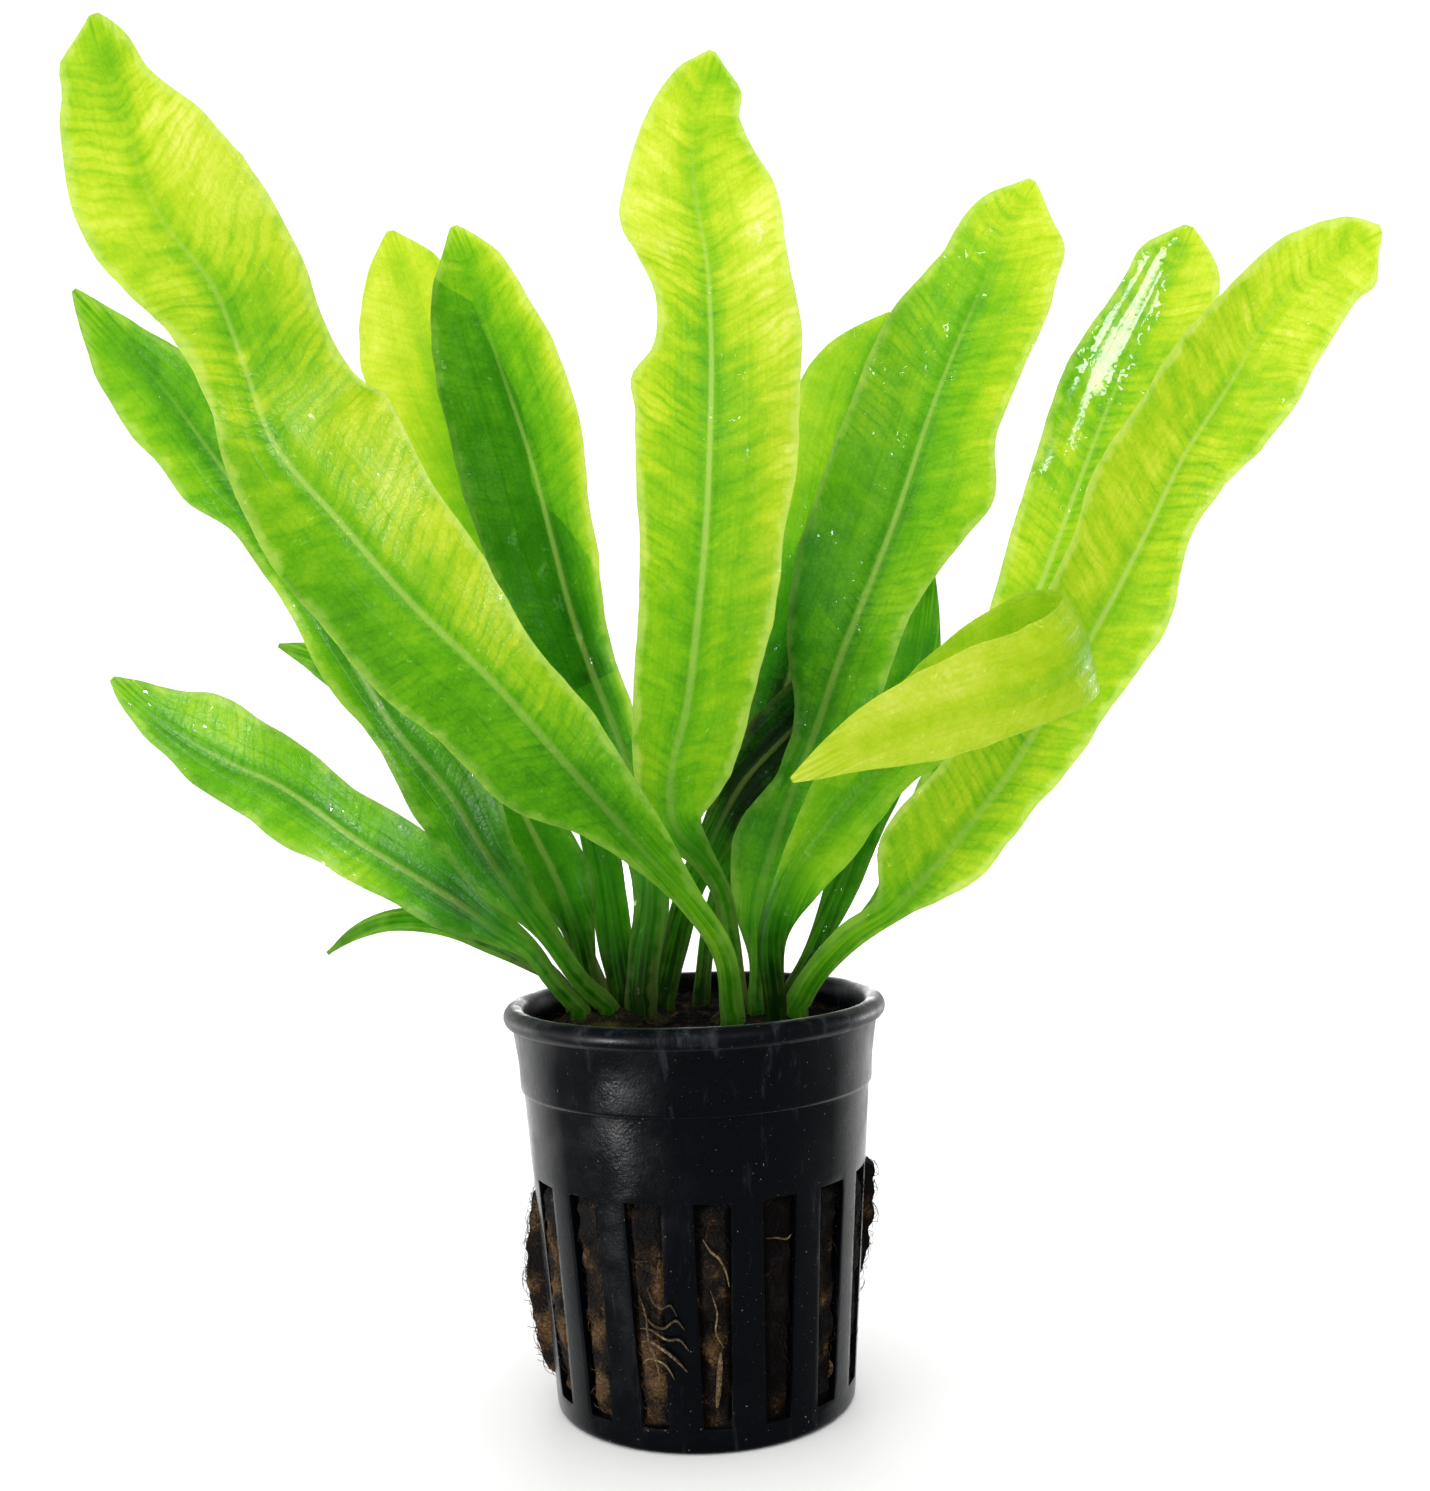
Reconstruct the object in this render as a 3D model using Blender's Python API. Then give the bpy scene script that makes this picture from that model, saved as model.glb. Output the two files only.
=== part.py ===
"""A ruffled echinodorus, a rosette water plant, standing in its black net pot.

Z is up, X is to the right and Y runs away from the front. The origin is at the centre of
the pot's underside. Sizes are written in millimetres and turned into metres by MM.
"""

import math
from collections import namedtuple

import bmesh
import bpy
from mathutils import Vector

MM = 0.001
GAP = 0.3

# The pot: a common 5 cm net pot for water plants.
POT_HEIGHT = 52.5
RIM_BEAD = 1.4
BAND_RADIUS = 23.7
STEP_HEIGHT = 41.5
STEP_DEPTH = 0.4
SHOULDER_RADIUS = 22.7
BASE_RADIUS = 19.6
BASE_CORNER = 0.8
WALL = 1.1
FLOOR = 1.3
FLOOR_CORNER = 1.0
POT_SIDES = 64

# The slots: tall and narrowing downward, with one 4 degrees to the right of the front.
SLOT_COUNT = 16
SLOT_TURN = 4.0
SLOT_TOP = 31.0
SLOT_FOOT = 3.2
SLOT_TOP_WIDTH = 4.7
SLOT_FOOT_WIDTH = 3.5
SLOT_CUT = 4.0
DRAIN_COUNT = 8
DRAIN_RADIUS = 1.8
DRAIN_CIRCLE = 11.5

# The wool plug: it fills the pot, and swells out through the slots at the far left and right.
# For each such slot, how far it swells and the height where it swells most.
WOOL_TOP = 49.0
WOOL_TILT = 0.07
WOOL_RECESS = 0.6
WOOL_CLEAR = 0.35
WOOL_BRIM = 1.2
WOOL_SWELL = {-5: (1.6, 14.0), -4: (2.8, 15.0), -3: (0.6, 20.0), 3: (0.4, 24.0), 4: (2.0, 26.0)}
SWELL_REACH = 15.0
SWELL_EDGE = 0.9

# The two rootstocks: flat domes on the wool. Each is centre x, centre y, radius.
CROWN_RISE = 1.2
CROWN_EDGE = 0.3
CROWN_TUCK = 0.97
CROWN_SEGMENTS = 24
CROWNS = {"rootstock_left": (-10.6, 5.0, 8.0), "rootstock_right": (8.8, 1.2, 7.2)}

# The leaves. A leaf is a petiole up to the half width BLADE_STARTS and all blade from BLADE_FULL.
BLADE_THICKNESS = 0.5
MIDRIB_THICKNESS = 1.5
TIP_THICKNESS = 0.6
BLADE_STARTS = 1.8
BLADE_FULL = 4.3
PETIOLE_ROUNDNESS = 0.8
PETIOLE_SHOULDER = 0.85
FOOT_SHOULDER = 0.7
HALFWAY_LIFT = 0.3
MARGIN_LAG = 2.0
LEAST_HALF_WIDTH = 0.3
STATION_SPACING = 6.5
TIP_LENGTHS = (4.0, 1.6, 0.4)
TIP_POWER = 0.8

# One leaf. Each row is a place on the midrib (x, y, z), then the half widths of the leaf to
# the left and right of it, from the foot of the petiole to the tip. The foot's own height
# follows from the rootstock. "cup" is how far the margins rise toward the leaf's face, as a
# share of the half width, "ruffle" how far they wave, "waves" how often, "phase" in turns,
# and "roll" turns the blade about its midrib, in degrees.
Leaf = namedtuple("Leaf", "name cup ruffle waves phase roll rows")

LEAVES = (
    Leaf("leaf_front_left", 0.22, 0.9, 7, 0.10, 12, (
        (5.0, -3.5, 0, 1.4, 1.4),
        (4.0, -6.0, 59.0, 1.5, 1.5),
        (0.0, -9.0, 66.0, 1.7, 1.7),
        (-6.0, -13.0, 73.5, 2.8, 4.0),
        (-15.0, -19.0, 85.0, 8.5, 6.6),
        (-22.5, -24.0, 94.5, 9.6, 7.2),
        (-30.0, -28.0, 102.5, 9.6, 10.2),
        (-37.5, -32.0, 112.0, 9.0, 12.2),
        (-44.0, -36.0, 121.0, 6.2, 14.2),
        (-46.5, -38.0, 129.5, 5.2, 11.2),
        (-49.0, -39.0, 137.0, 7.0, 10.9),
        (-54.5, -40.0, 145.0, 8.2, 12.0),
        (-57.0, -40.0, 152.0, 7.4, 9.4),
        (-59.0, -40.0, 159.0, 6.0, 4.8),
        (-60.0, -40.0, 163.5, 4.2, 3.2),
        (-60.8, -40.0, 167.0, 0, 0),
    )),
    Leaf("leaf_far_left", 0.20, 0.8, 6, 0.35, 10, (
        (-11.4, 2.0, 0, 1.3, 1.3),
        (-14.2, 1.5, 54.0, 1.3, 1.3),
        (-19.5, 0.0, 62.0, 1.5, 1.8),
        (-25.5, -2.0, 71.0, 4.6, 4.0),
        (-31.0, -4.0, 81.0, 5.2, 7.0),
        (-37.0, -6.0, 89.0, 3.4, 9.2),
        (-42.5, -8.0, 99.5, 4.4, 8.6),
        (-49.0, -10.0, 110.5, 3.4, 8.6),
        (-52.5, -11.0, 116.0, 3.4, 8.8),
        (-55.5, -12.0, 121.0, 6.1, 8.8),
        (-58.5, -12.5, 125.5, 6.0, 7.8),
        (-62.5, -13.0, 131.5, 6.6, 5.8),
        (-67.5, -14.0, 137.5, 5.0, 3.3),
        (-71.0, -14.5, 141.6, 2.4, 1.5),
        (-73.2, -15.0, 144.4, 0, 0),
    )),
    Leaf("leaf_low_left", 0.16, 0.6, 6, 0.60, 8, (
        (-15.2, 2.0, 0, 1.2, 1.2),
        (-18.6, 2.0, 54.8, 1.2, 1.2),
        (-21.5, 2.0, 59.0, 1.4, 1.4),
        (-26.7, 2.0, 62.8, 2.8, 2.8),
        (-32.7, 2.0, 67.0, 4.6, 4.6),
        (-38.8, 2.0, 71.0, 4.6, 6.4),
        (-44.4, 2.0, 74.8, 5.2, 6.0),
        (-50.0, 2.0, 79.3, 6.2, 5.8),
        (-54.0, 1.0, 82.3, 6.0, 6.3),
        (-60.0, 0.0, 85.5, 5.1, 7.6),
        (-65.8, 0.0, 89.0, 3.8, 7.2),
        (-70.7, -1.0, 93.0, 2.4, 3.8),
        (-73.2, -1.5, 95.4, 1.4, 2.0),
        (-74.8, -2.0, 97.2, 0, 0),
    )),
    Leaf("leaf_drooping", 0.20, 0.3, 3, 0.00, 0, (
        (-16.3, 5.8, 0, 1.0, 1.0),
        (-18.5, 7.0, 54.3, 1.0, 1.0),
        (-22.5, 8.0, 57.5, 1.8, 1.3),
        (-27.7, 9.0, 60.0, 2.0, 2.0),
        (-32.6, 9.0, 62.0, 1.8, 2.0),
        (-37.2, 8.0, 63.3, 1.9, 1.6),
        (-41.7, 7.0, 63.2, 1.5, 1.3),
        (-45.7, 6.0, 61.8, 1.0, 0.9),
        (-49.6, 5.0, 59.0, 0, 0),
    )),
    Leaf("leaf_small_left", 0.18, 0.4, 4, 0.20, -6, (
        (-12.4, 9.0, 0, 1.0, 1.0),
        (-14.3, 10.0, 56.5, 1.0, 1.0),
        (-20.0, 10.0, 66.4, 2.2, 2.2),
        (-27.3, 9.0, 75.0, 2.9, 3.0),
        (-35.0, 8.0, 83.5, 2.9, 3.3),
        (-42.8, 7.0, 93.3, 2.0, 2.8),
        (-49.2, 6.0, 98.8, 2.0, 2.4),
        (-55.0, 6.0, 101.2, 0, 0),
    )),
    Leaf("leaf_ruffled_inner", 0.15, 0.9, 5, 0.45, -8, (
        (-13.4, 5.6, 0, 1.3, 1.3),
        (-14.4, 5.2, 55.0, 1.4, 1.5),
        (-15.6, 4.5, 61.0, 1.8, 2.6),
        (-17.4, 3.4, 67.0, 3.3, 4.7),
        (-20.4, 2.4, 74.0, 4.1, 4.5),
        (-24.0, 1.4, 82.0, 4.7, 4.7),
        (-28.0, 0.0, 90.0, 3.6, 4.2),
        (-32.7, -2.0, 98.5, 0, 0),
    )),
    Leaf("leaf_back_left", 0.20, 0.7, 6, 0.75, -12, (
        (-9.4, 5.4, 0, 1.5, 1.5),
        (-10.4, 7.6, 58.0, 2.4, 2.3),
        (-11.6, 9.4, 67.6, 2.6, 2.5),
        (-13.5, 12.0, 78.5, 2.6, 3.0),
        (-14.9, 14.0, 88.3, 3.8, 4.0),
        (-17.5, 16.0, 99.8, 5.6, 5.6),
        (-20.9, 18.0, 109.1, 7.4, 6.6),
        (-24.7, 21.0, 118.6, 8.6, 6.2),
        (-29.6, 24.0, 128.8, 9.4, 8.0),
        (-33.3, 26.0, 136.3, 9.8, 9.4),
        (-36.5, 28.0, 145.0, 10.1, 9.2),
        (-38.8, 29.0, 153.4, 7.6, 7.4),
        (-40.6, 30.0, 159.6, 4.3, 4.8),
        (-42.2, 31.0, 164.6, 0, 0),
    )),
    Leaf("leaf_inner_left", 0.20, 0.7, 6, 0.15, 14, (
        (-7.2, 2.5, 0, 1.9, 1.9),
        (-6.6, 3.0, 57.0, 2.2, 2.2),
        (-5.2, 4.0, 65.0, 2.6, 2.4),
        (-5.5, 5.0, 74.5, 4.0, 2.2),
        (-8.7, 7.0, 85.8, 5.4, 3.4),
        (-12.5, 9.0, 96.2, 6.4, 3.8),
        (-15.1, 10.0, 104.5, 7.8, 5.2),
        (-17.5, 11.0, 114.7, 9.6, 6.4),
        (-20.1, 12.0, 126.0, 10.2, 8.2),
        (-24.2, 13.0, 139.6, 9.2, 8.8),
        (-26.1, 14.0, 145.8, 7.8, 7.3),
        (-28.4, 15.0, 154.6, 5.0, 4.5),
        (-30.5, 15.0, 160.1, 0, 0),
    )),
    Leaf("leaf_tall_middle", 0.22, 0.8, 7, 0.00, -10, (
        (5.8, 1.6, 0, 1.3, 1.3),
        (5.0, 0.4, 60.5, 1.3, 1.3),
        (4.1, -1.0, 66.2, 1.3, 1.3),
        (1.5, -2.0, 71.0, 1.6, 1.9),
        (-1.6, -3.0, 74.8, 2.6, 4.0),
        (-2.1, -5.0, 81.4, 4.6, 6.8),
        (0.3, -7.0, 90.7, 7.2, 7.9),
        (1.9, -9.0, 100.7, 7.6, 9.1),
        (3.4, -10.0, 112.6, 8.8, 10.0),
        (4.4, -10.0, 125.4, 9.8, 11.0),
        (4.7, -9.5, 130.6, 10.4, 11.2),
        (4.9, -9.0, 135.7, 7.6, 11.2),
        (4.9, -8.0, 141.0, 7.0, 10.8),
        (4.7, -7.0, 147.7, 9.4, 10.3),
        (3.9, -6.0, 153.9, 10.4, 10.4),
        (3.3, -5.0, 160.9, 8.0, 8.2),
        (3.8, -3.0, 168.4, 5.1, 6.2),
        (5.4, -1.5, 173.5, 3.2, 4.4),
        (6.6, 0.0, 177.4, 0, 0),
    )),
    Leaf("leaf_tall_right", 0.16, 0.9, 6, 0.55, 10, (
        (8.3, -1.8, 0, 1.2, 1.2),
        (8.8, 0.2, 57.0, 1.4, 1.6),
        (9.2, 2.0, 64.8, 3.8, 3.0),
        (11.7, 3.0, 72.6, 5.6, 5.0),
        (14.8, 4.0, 80.6, 2.8, 6.5),
        (18.2, 5.0, 88.6, 3.6, 7.0),
        (21.2, 5.0, 96.6, 7.6, 7.0),
        (25.4, 6.0, 106.0, 10.6, 6.8),
        (29.5, 7.0, 115.5, 11.2, 10.0),
        (31.8, 7.5, 121.5, 11.0, 12.0),
        (34.1, 8.0, 127.8, 10.8, 10.0),
        (38.8, 9.0, 138.9, 10.2, 9.8),
        (44.1, 10.0, 150.0, 7.0, 9.4),
        (47.4, 11.0, 157.6, 4.8, 7.2),
        (50.9, 12.0, 163.2, 0, 0),
    )),
    Leaf("leaf_behind_right", 0.15, 0.6, 5, 0.30, 12, (
        (0.8, 9.0, 0, 1.1, 1.1),
        (2.4, 12.0, 60.0, 1.2, 1.2),
        (6.4, 14.5, 71.0, 2.0, 2.5),
        (11.0, 17.0, 83.3, 3.4, 5.0),
        (15.0, 19.0, 94.4, 4.7, 7.0),
        (18.6, 20.5, 105.8, 6.0, 8.0),
        (21.8, 22.0, 117.5, 7.2, 8.6),
        (25.3, 23.0, 130.8, 9.2, 7.6),
        (29.0, 24.0, 141.2, 6.8, 5.4),
        (32.4, 24.5, 148.4, 0, 0),
    )),
    Leaf("leaf_dark_middle", 0.12, 0.4, 4, 0.80, 0, (
        (-4.2, 6.4, 0, 1.3, 1.3),
        (-2.4, 7.2, 58.4, 1.9, 1.8),
        (0.2, 8.5, 66.4, 2.0, 1.8),
        (3.6, 9.5, 73.5, 2.2, 3.0),
        (7.6, 10.0, 80.2, 3.3, 4.5),
        (13.8, 10.5, 86.5, 5.0, 4.5),
        (20.4, 11.0, 92.8, 4.0, 3.5),
        (26.3, 12.0, 99.6, 0, 0),
    )),
    Leaf("leaf_folded", 0.10, 0.4, 5, 0.25, 0, (
        (10.6, -3.4, 0, 1.2, 1.2),
        (10.1, -5.0, 61.5, 1.5, 2.6),
        (12.9, -7.0, 68.7, 1.9, 4.6),
        (18.0, -9.0, 75.0, 4.6, 5.0),
        (24.3, -12.0, 82.0, 6.2, 4.0),
        (31.6, -15.0, 88.5, 6.7, 5.5),
        (39.8, -18.0, 94.0, 7.7, 7.6),
        (45.5, -20.0, 97.0, 7.6, 7.4),
        (48.2, -23.0, 96.6, 7.4, 7.0),
        (46.2, -26.0, 94.0, 7.6, 6.4),
        (41.0, -27.5, 91.0, 8.0, 5.6),
        (34.0, -29.0, 89.4, 7.0, 5.9),
        (27.0, -30.0, 87.6, 5.5, 5.5),
        (20.0, -30.0, 85.2, 3.7, 3.7),
        (11.8, -30.0, 81.3, 0, 0),
    )),
    Leaf("leaf_big_right", 0.17, 0.7, 7, 0.42, -11, (
        (13.2, -1.5, 0, 1.5, 1.5),
        (15.2, -2.0, 54.3, 1.6, 1.6),
        (20.4, -3.0, 60.0, 1.9, 1.9),
        (26.0, -4.0, 63.6, 2.8, 1.9),
        (29.6, -4.8, 67.0, 7.6, 3.6),
        (33.0, -5.4, 70.6, 9.0, 5.0),
        (37.0, -6.0, 75.4, 8.9, 5.6),
        (41.0, -7.0, 80.5, 8.4, 5.6),
        (45.4, -8.0, 87.5, 7.7, 6.6),
        (50.7, -8.0, 95.6, 8.1, 7.3),
        (57.0, -8.0, 106.3, 9.2, 7.5),
        (61.0, -8.0, 113.7, 10.2, 5.4),
        (64.3, -8.0, 120.0, 9.6, 6.4),
        (68.4, -8.0, 126.0, 9.4, 8.2),
        (72.0, -7.0, 131.0, 9.0, 8.4),
        (75.7, -6.0, 137.0, 7.3, 8.7),
        (79.5, -6.0, 141.4, 6.4, 8.3),
        (85.3, -5.0, 145.8, 5.2, 6.2),
        (89.7, -4.5, 148.6, 3.0, 5.0),
        (92.9, -4.0, 150.2, 0, 0),
    )),
    Leaf("leaf_wet_right", 0.17, 0.6, 6, 0.68, 9, (
        (13.8, 2.2, 0, 1.2, 1.2),
        (19.0, 3.5, 57.0, 1.2, 1.2),
        (25.5, 5.0, 63.3, 1.5, 1.5),
        (33.0, 7.0, 73.0, 4.2, 3.6),
        (39.6, 8.0, 85.0, 4.6, 5.6),
        (45.7, 9.0, 97.3, 5.0, 6.6),
        (51.2, 10.0, 109.7, 6.2, 7.1),
        (56.4, 11.0, 122.0, 6.9, 8.1),
        (61.5, 11.5, 133.6, 7.5, 9.0),
        (67.3, 12.0, 145.6, 5.2, 8.6),
        (71.0, 12.0, 152.6, 3.9, 5.3),
        (72.6, 12.0, 156.2, 0, 0),
    )),
    Leaf("leaf_right_back", 0.14, 0.6, 4, 0.10, 6, (
        (12.4, 5.4, 0, 1.0, 1.0),
        (16.0, 6.6, 56.5, 1.2, 1.2),
        (20.2, 8.5, 64.5, 2.2, 2.2),
        (24.6, 11.0, 74.5, 3.8, 2.8),
        (29.8, 13.0, 85.5, 3.7, 3.2),
        (33.4, 14.0, 98.0, 3.6, 2.9),
        (35.6, 15.0, 110.6, 0, 0),
    )),
)


def material(name, colour, roughness, metallic=0.0):
    """A plain material with this sRGB hex colour."""
    made = bpy.data.materials.new(name)
    made.use_nodes = True
    channels = [int(colour[i : i + 2], 16) / 255 for i in (1, 3, 5)]
    linear = [c / 12.92 if c <= 0.04045 else ((c + 0.055) / 1.055) ** 2.4 for c in channels]
    shader = made.node_tree.nodes["Principled BSDF"]
    shader.inputs["Base Color"].default_value = (*linear, 1.0)
    shader.inputs["Roughness"].default_value = roughness
    shader.inputs["Metallic"].default_value = metallic
    made.diffuse_color = (*linear, 1.0)
    return made


def object_from(bm, name, look, holder, place=(0, 0, 0)):
    """A named object from a bmesh in millimetres, with its origin at a place in millimetres."""
    bmesh.ops.recalc_face_normals(bm, faces=bm.faces)
    bmesh.ops.translate(bm, verts=bm.verts, vec=-Vector(place))
    bmesh.ops.scale(bm, verts=bm.verts, vec=(MM, MM, MM))
    mesh = bpy.data.meshes.new(name)
    bm.to_mesh(mesh)
    bm.free()
    mesh.shade_smooth()
    mesh.set_sharp_from_angle(angle=math.radians(40))
    mesh.materials.append(look)
    made = bpy.data.objects.new(name, mesh)
    made.location = Vector(place) * MM
    made.parent = holder
    bpy.context.scene.collection.objects.link(made)
    return made


def loft(bm, rings):
    """Faces between rings of points with equal counts, and flat faces on the two ends."""
    loops = [[bm.verts.new(point) for point in ring] for ring in rings]
    for lower, upper in zip(loops, loops[1:]):
        for i, _ in enumerate(lower):
            j = (i + 1) % len(lower)
            bm.faces.new((lower[i], lower[j], upper[j], upper[i]))
    bm.faces.new(loops[0][::-1])
    bm.faces.new(loops[-1])


def around(radius, degrees, height):
    """A point at this radius and height, turned from the front toward the right."""
    turn = math.radians(degrees)
    return (radius * math.sin(turn), -radius * math.cos(turn), height)


def wall_radius(height):
    """The pot's outer radius at a height below its step."""
    share = (height - BASE_CORNER) / (STEP_HEIGHT - BASE_CORNER)
    return BASE_RADIUS + (SHOULDER_RADIUS - BASE_RADIUS) * share


def pot_profile():
    """The wall's section as (radius, height), up the outside, over the bead and down inside."""
    rounding = BASE_CORNER * 0.3
    outside = [
        (BASE_RADIUS - BASE_CORNER, 0.0),
        (BASE_RADIUS - rounding, rounding),
        (BASE_RADIUS, BASE_CORNER),
        (SHOULDER_RADIUS, STEP_HEIGHT),
        (SHOULDER_RADIUS + STEP_DEPTH, STEP_HEIGHT + STEP_DEPTH),
    ]
    bead_height = POT_HEIGHT - RIM_BEAD
    bead = []
    for degrees in (-70, -30, 10, 50, 90, 140):
        turn = math.radians(degrees)
        bead.append((BAND_RADIUS + RIM_BEAD * math.cos(turn), bead_height + RIM_BEAD * math.sin(turn)))
    inside = [
        (BAND_RADIUS - WALL, bead_height - RIM_BEAD / 2),
        (SHOULDER_RADIUS + STEP_DEPTH / 2 - WALL, STEP_HEIGHT - WALL),
        (BASE_RADIUS - WALL, FLOOR + FLOOR_CORNER),
        (BASE_RADIUS - WALL - FLOOR_CORNER, FLOOR),
    ]
    return outside + bead + inside


def slot_half_width(height):
    share = (height - SLOT_FOOT) / (SLOT_TOP - SLOT_FOOT)
    return (SLOT_FOOT_WIDTH + (SLOT_TOP_WIDTH - SLOT_FOOT_WIDTH) * share) / 2


def slot_angles():
    """Each slot's number, counted from the front to the right, and its angle."""
    numbers = range(1 - SLOT_COUNT // 2, SLOT_COUNT // 2 + 1)
    return [(number, SLOT_TURN + number * 360 / SLOT_COUNT) for number in numbers]


def cutter(bm, name):
    """A helper that shapes another object and isn't part of the model."""
    bmesh.ops.recalc_face_normals(bm, faces=bm.faces)
    bmesh.ops.scale(bm, verts=bm.verts, vec=(MM, MM, MM))
    mesh = bpy.data.meshes.new(name)
    bm.to_mesh(mesh)
    bm.free()
    made = bpy.data.objects.new(name, mesh)
    made.hide_render = True
    made.display_type = "WIRE"
    bpy.context.scene.collection.objects.link(made)
    return made


def make_cutters():
    """The slots through the wall and the round drain holes through the floor, as one cutter."""
    bm = bmesh.new()
    inner, outer = BASE_RADIUS - SLOT_CUT, BAND_RADIUS + SLOT_CUT
    for _, degrees in slot_angles():
        turn = math.radians(degrees)
        out = Vector((math.sin(turn), -math.cos(turn), 0))
        across = Vector((math.cos(turn), math.sin(turn), 0))
        rings = []
        for height in (SLOT_FOOT, SLOT_TOP):
            half = slot_half_width(height)
            corners = ((inner, -half), (outer, -half), (outer, half), (inner, half))
            rings.append([out * r + across * a + Vector((0, 0, height)) for r, a in corners])
        loft(bm, rings)
    for number in range(DRAIN_COUNT):
        centre = Vector(around(DRAIN_CIRCLE, SLOT_TURN + number * 360 / DRAIN_COUNT, 0))
        rings = []
        for height in (-1.0, FLOOR + 1.0):
            rings.append([centre + Vector(around(DRAIN_RADIUS, 30 * i, height)) for i in range(12)])
        loft(bm, rings)
    return cutter(bm, "slot_cutter")


def make_pot(holder):
    bm = bmesh.new()
    profile = [bm.verts.new((0, -radius, height)) for radius, height in pot_profile()]
    bottom = bm.verts.new((0, 0, 0))
    floor = bm.verts.new((0, 0, FLOOR))
    chain = [bottom, *profile, floor]
    edges = [bm.edges.new(pair) for pair in zip(chain, chain[1:])]
    bmesh.ops.spin(
        bm,
        geom=chain + edges,
        cent=(0, 0, 0),
        axis=(0, 0, 1),
        angle=math.tau,
        steps=POT_SIDES,
        use_merge=True,
    )
    bmesh.ops.remove_doubles(bm, verts=bm.verts, dist=0.001)
    pot = object_from(bm, "net_pot", material("black pot plastic", "#1b1d27", 0.38), holder)
    cut = pot.modifiers.new("slots", "BOOLEAN")
    cut.operation = "DIFFERENCE"
    cut.solver = "EXACT"
    cut.object = make_cutters()


def wool_top(x, y):
    """The wool's upper surface is a plane that rises a little toward the back."""
    return WOOL_TOP + WOOL_TILT * y


def wool_ring(height, radius, in_slots):
    """A ring around the wool, four points to each slot and the rib beside it."""
    ring = []
    for number, degrees in slot_angles():
        most, middle = WOOL_SWELL.get(number, (0.0, 15.0))
        swell = most * max(0.0, 1 - ((height - middle) / SWELL_REACH) ** 2)
        bulge = wall_radius(height) - WOOL_RECESS + swell if in_slots else radius
        half = slot_half_width(max(SLOT_FOOT, min(SLOT_TOP, height)))
        near = math.degrees((half - SWELL_EDGE) / bulge)
        far = math.degrees((half - WOOL_CLEAR) / radius)
        for side, reach in ((-far, radius), (-near, bulge), (near, bulge), (far, radius)):
            ring.append(around(reach, degrees + side, height))
    return ring


def make_wool(holder):
    """The plug stands clear of the plastic all round, by at least GAP."""
    bm = bmesh.new()
    clear = WALL + WOOL_CLEAR
    rings = [wool_ring(FLOOR + GAP, BASE_RADIUS - clear - FLOOR_CORNER, False)]
    rings.append(wool_ring(SLOT_FOOT + 0.5, wall_radius(SLOT_FOOT) - clear, False))
    for height in (6.0, 11.0, 18.0, 25.0, 29.0):
        rings.append(wool_ring(height, wall_radius(height) - clear, True))
    rings.append(wool_ring(SLOT_TOP - 0.5, wall_radius(SLOT_TOP) - clear, False))
    brim = SHOULDER_RADIUS - clear
    for radius, drop in ((brim, WOOL_BRIM), (brim - WOOL_BRIM, 0.0), (14.0, 0.0), (6.0, 0.0)):
        ring = wool_ring(0.0, radius, False)
        rings.append([(x, y, wool_top(x, y) - drop) for x, y, _ in ring])
    loft(bm, rings)
    object_from(bm, "wool_plug", material("brown rock wool", "#4a3526", 0.95), holder)


def crown_top(name, x, y):
    """The height of a rootstock's dome, which ends level at its edge."""
    centre_x, centre_y, radius = CROWNS[name]
    share = min(1.0, math.hypot(x - centre_x, y - centre_y) / radius)
    return wool_top(x, y) + GAP + CROWN_EDGE + CROWN_RISE * (1 - share**2)


def make_crowns(holder):
    look = material("green brown rootstock", "#5c6a2c", 0.6)
    for name, (centre_x, centre_y, radius) in CROWNS.items():
        bm = bmesh.new()
        rings = []
        for share in (CROWN_TUCK, 1.0, 0.7, 0.35):
            ring = []
            for i in range(CROWN_SEGMENTS):
                turn = math.tau * i / CROWN_SEGMENTS
                x = centre_x + share * radius * math.cos(turn)
                y = centre_y + share * radius * math.sin(turn)
                under = share == CROWN_TUCK
                ring.append((x, y, wool_top(x, y) + GAP if under else crown_top(name, x, y)))
            rings.append(ring)
        loft(bm, rings)
        object_from(bm, name, look, holder, (centre_x, centre_y, wool_top(centre_x, centre_y)))


def foot_height(x, y, half):
    """The height at which a petiole of this half width stands clear of what is under it."""
    steps = [(dx, dy) for dx in (-half, 0, half) for dy in (-half, 0, half)]
    heights = [wool_top(x + dx, y + dy) for dx, dy in steps]
    for name, (centre_x, centre_y, radius) in CROWNS.items():
        if math.hypot(x - centre_x, y - centre_y) < radius + half:
            heights += [crown_top(name, x + dx, y + dy) for dx, dy in steps]
    return max(heights) + GAP


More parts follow.
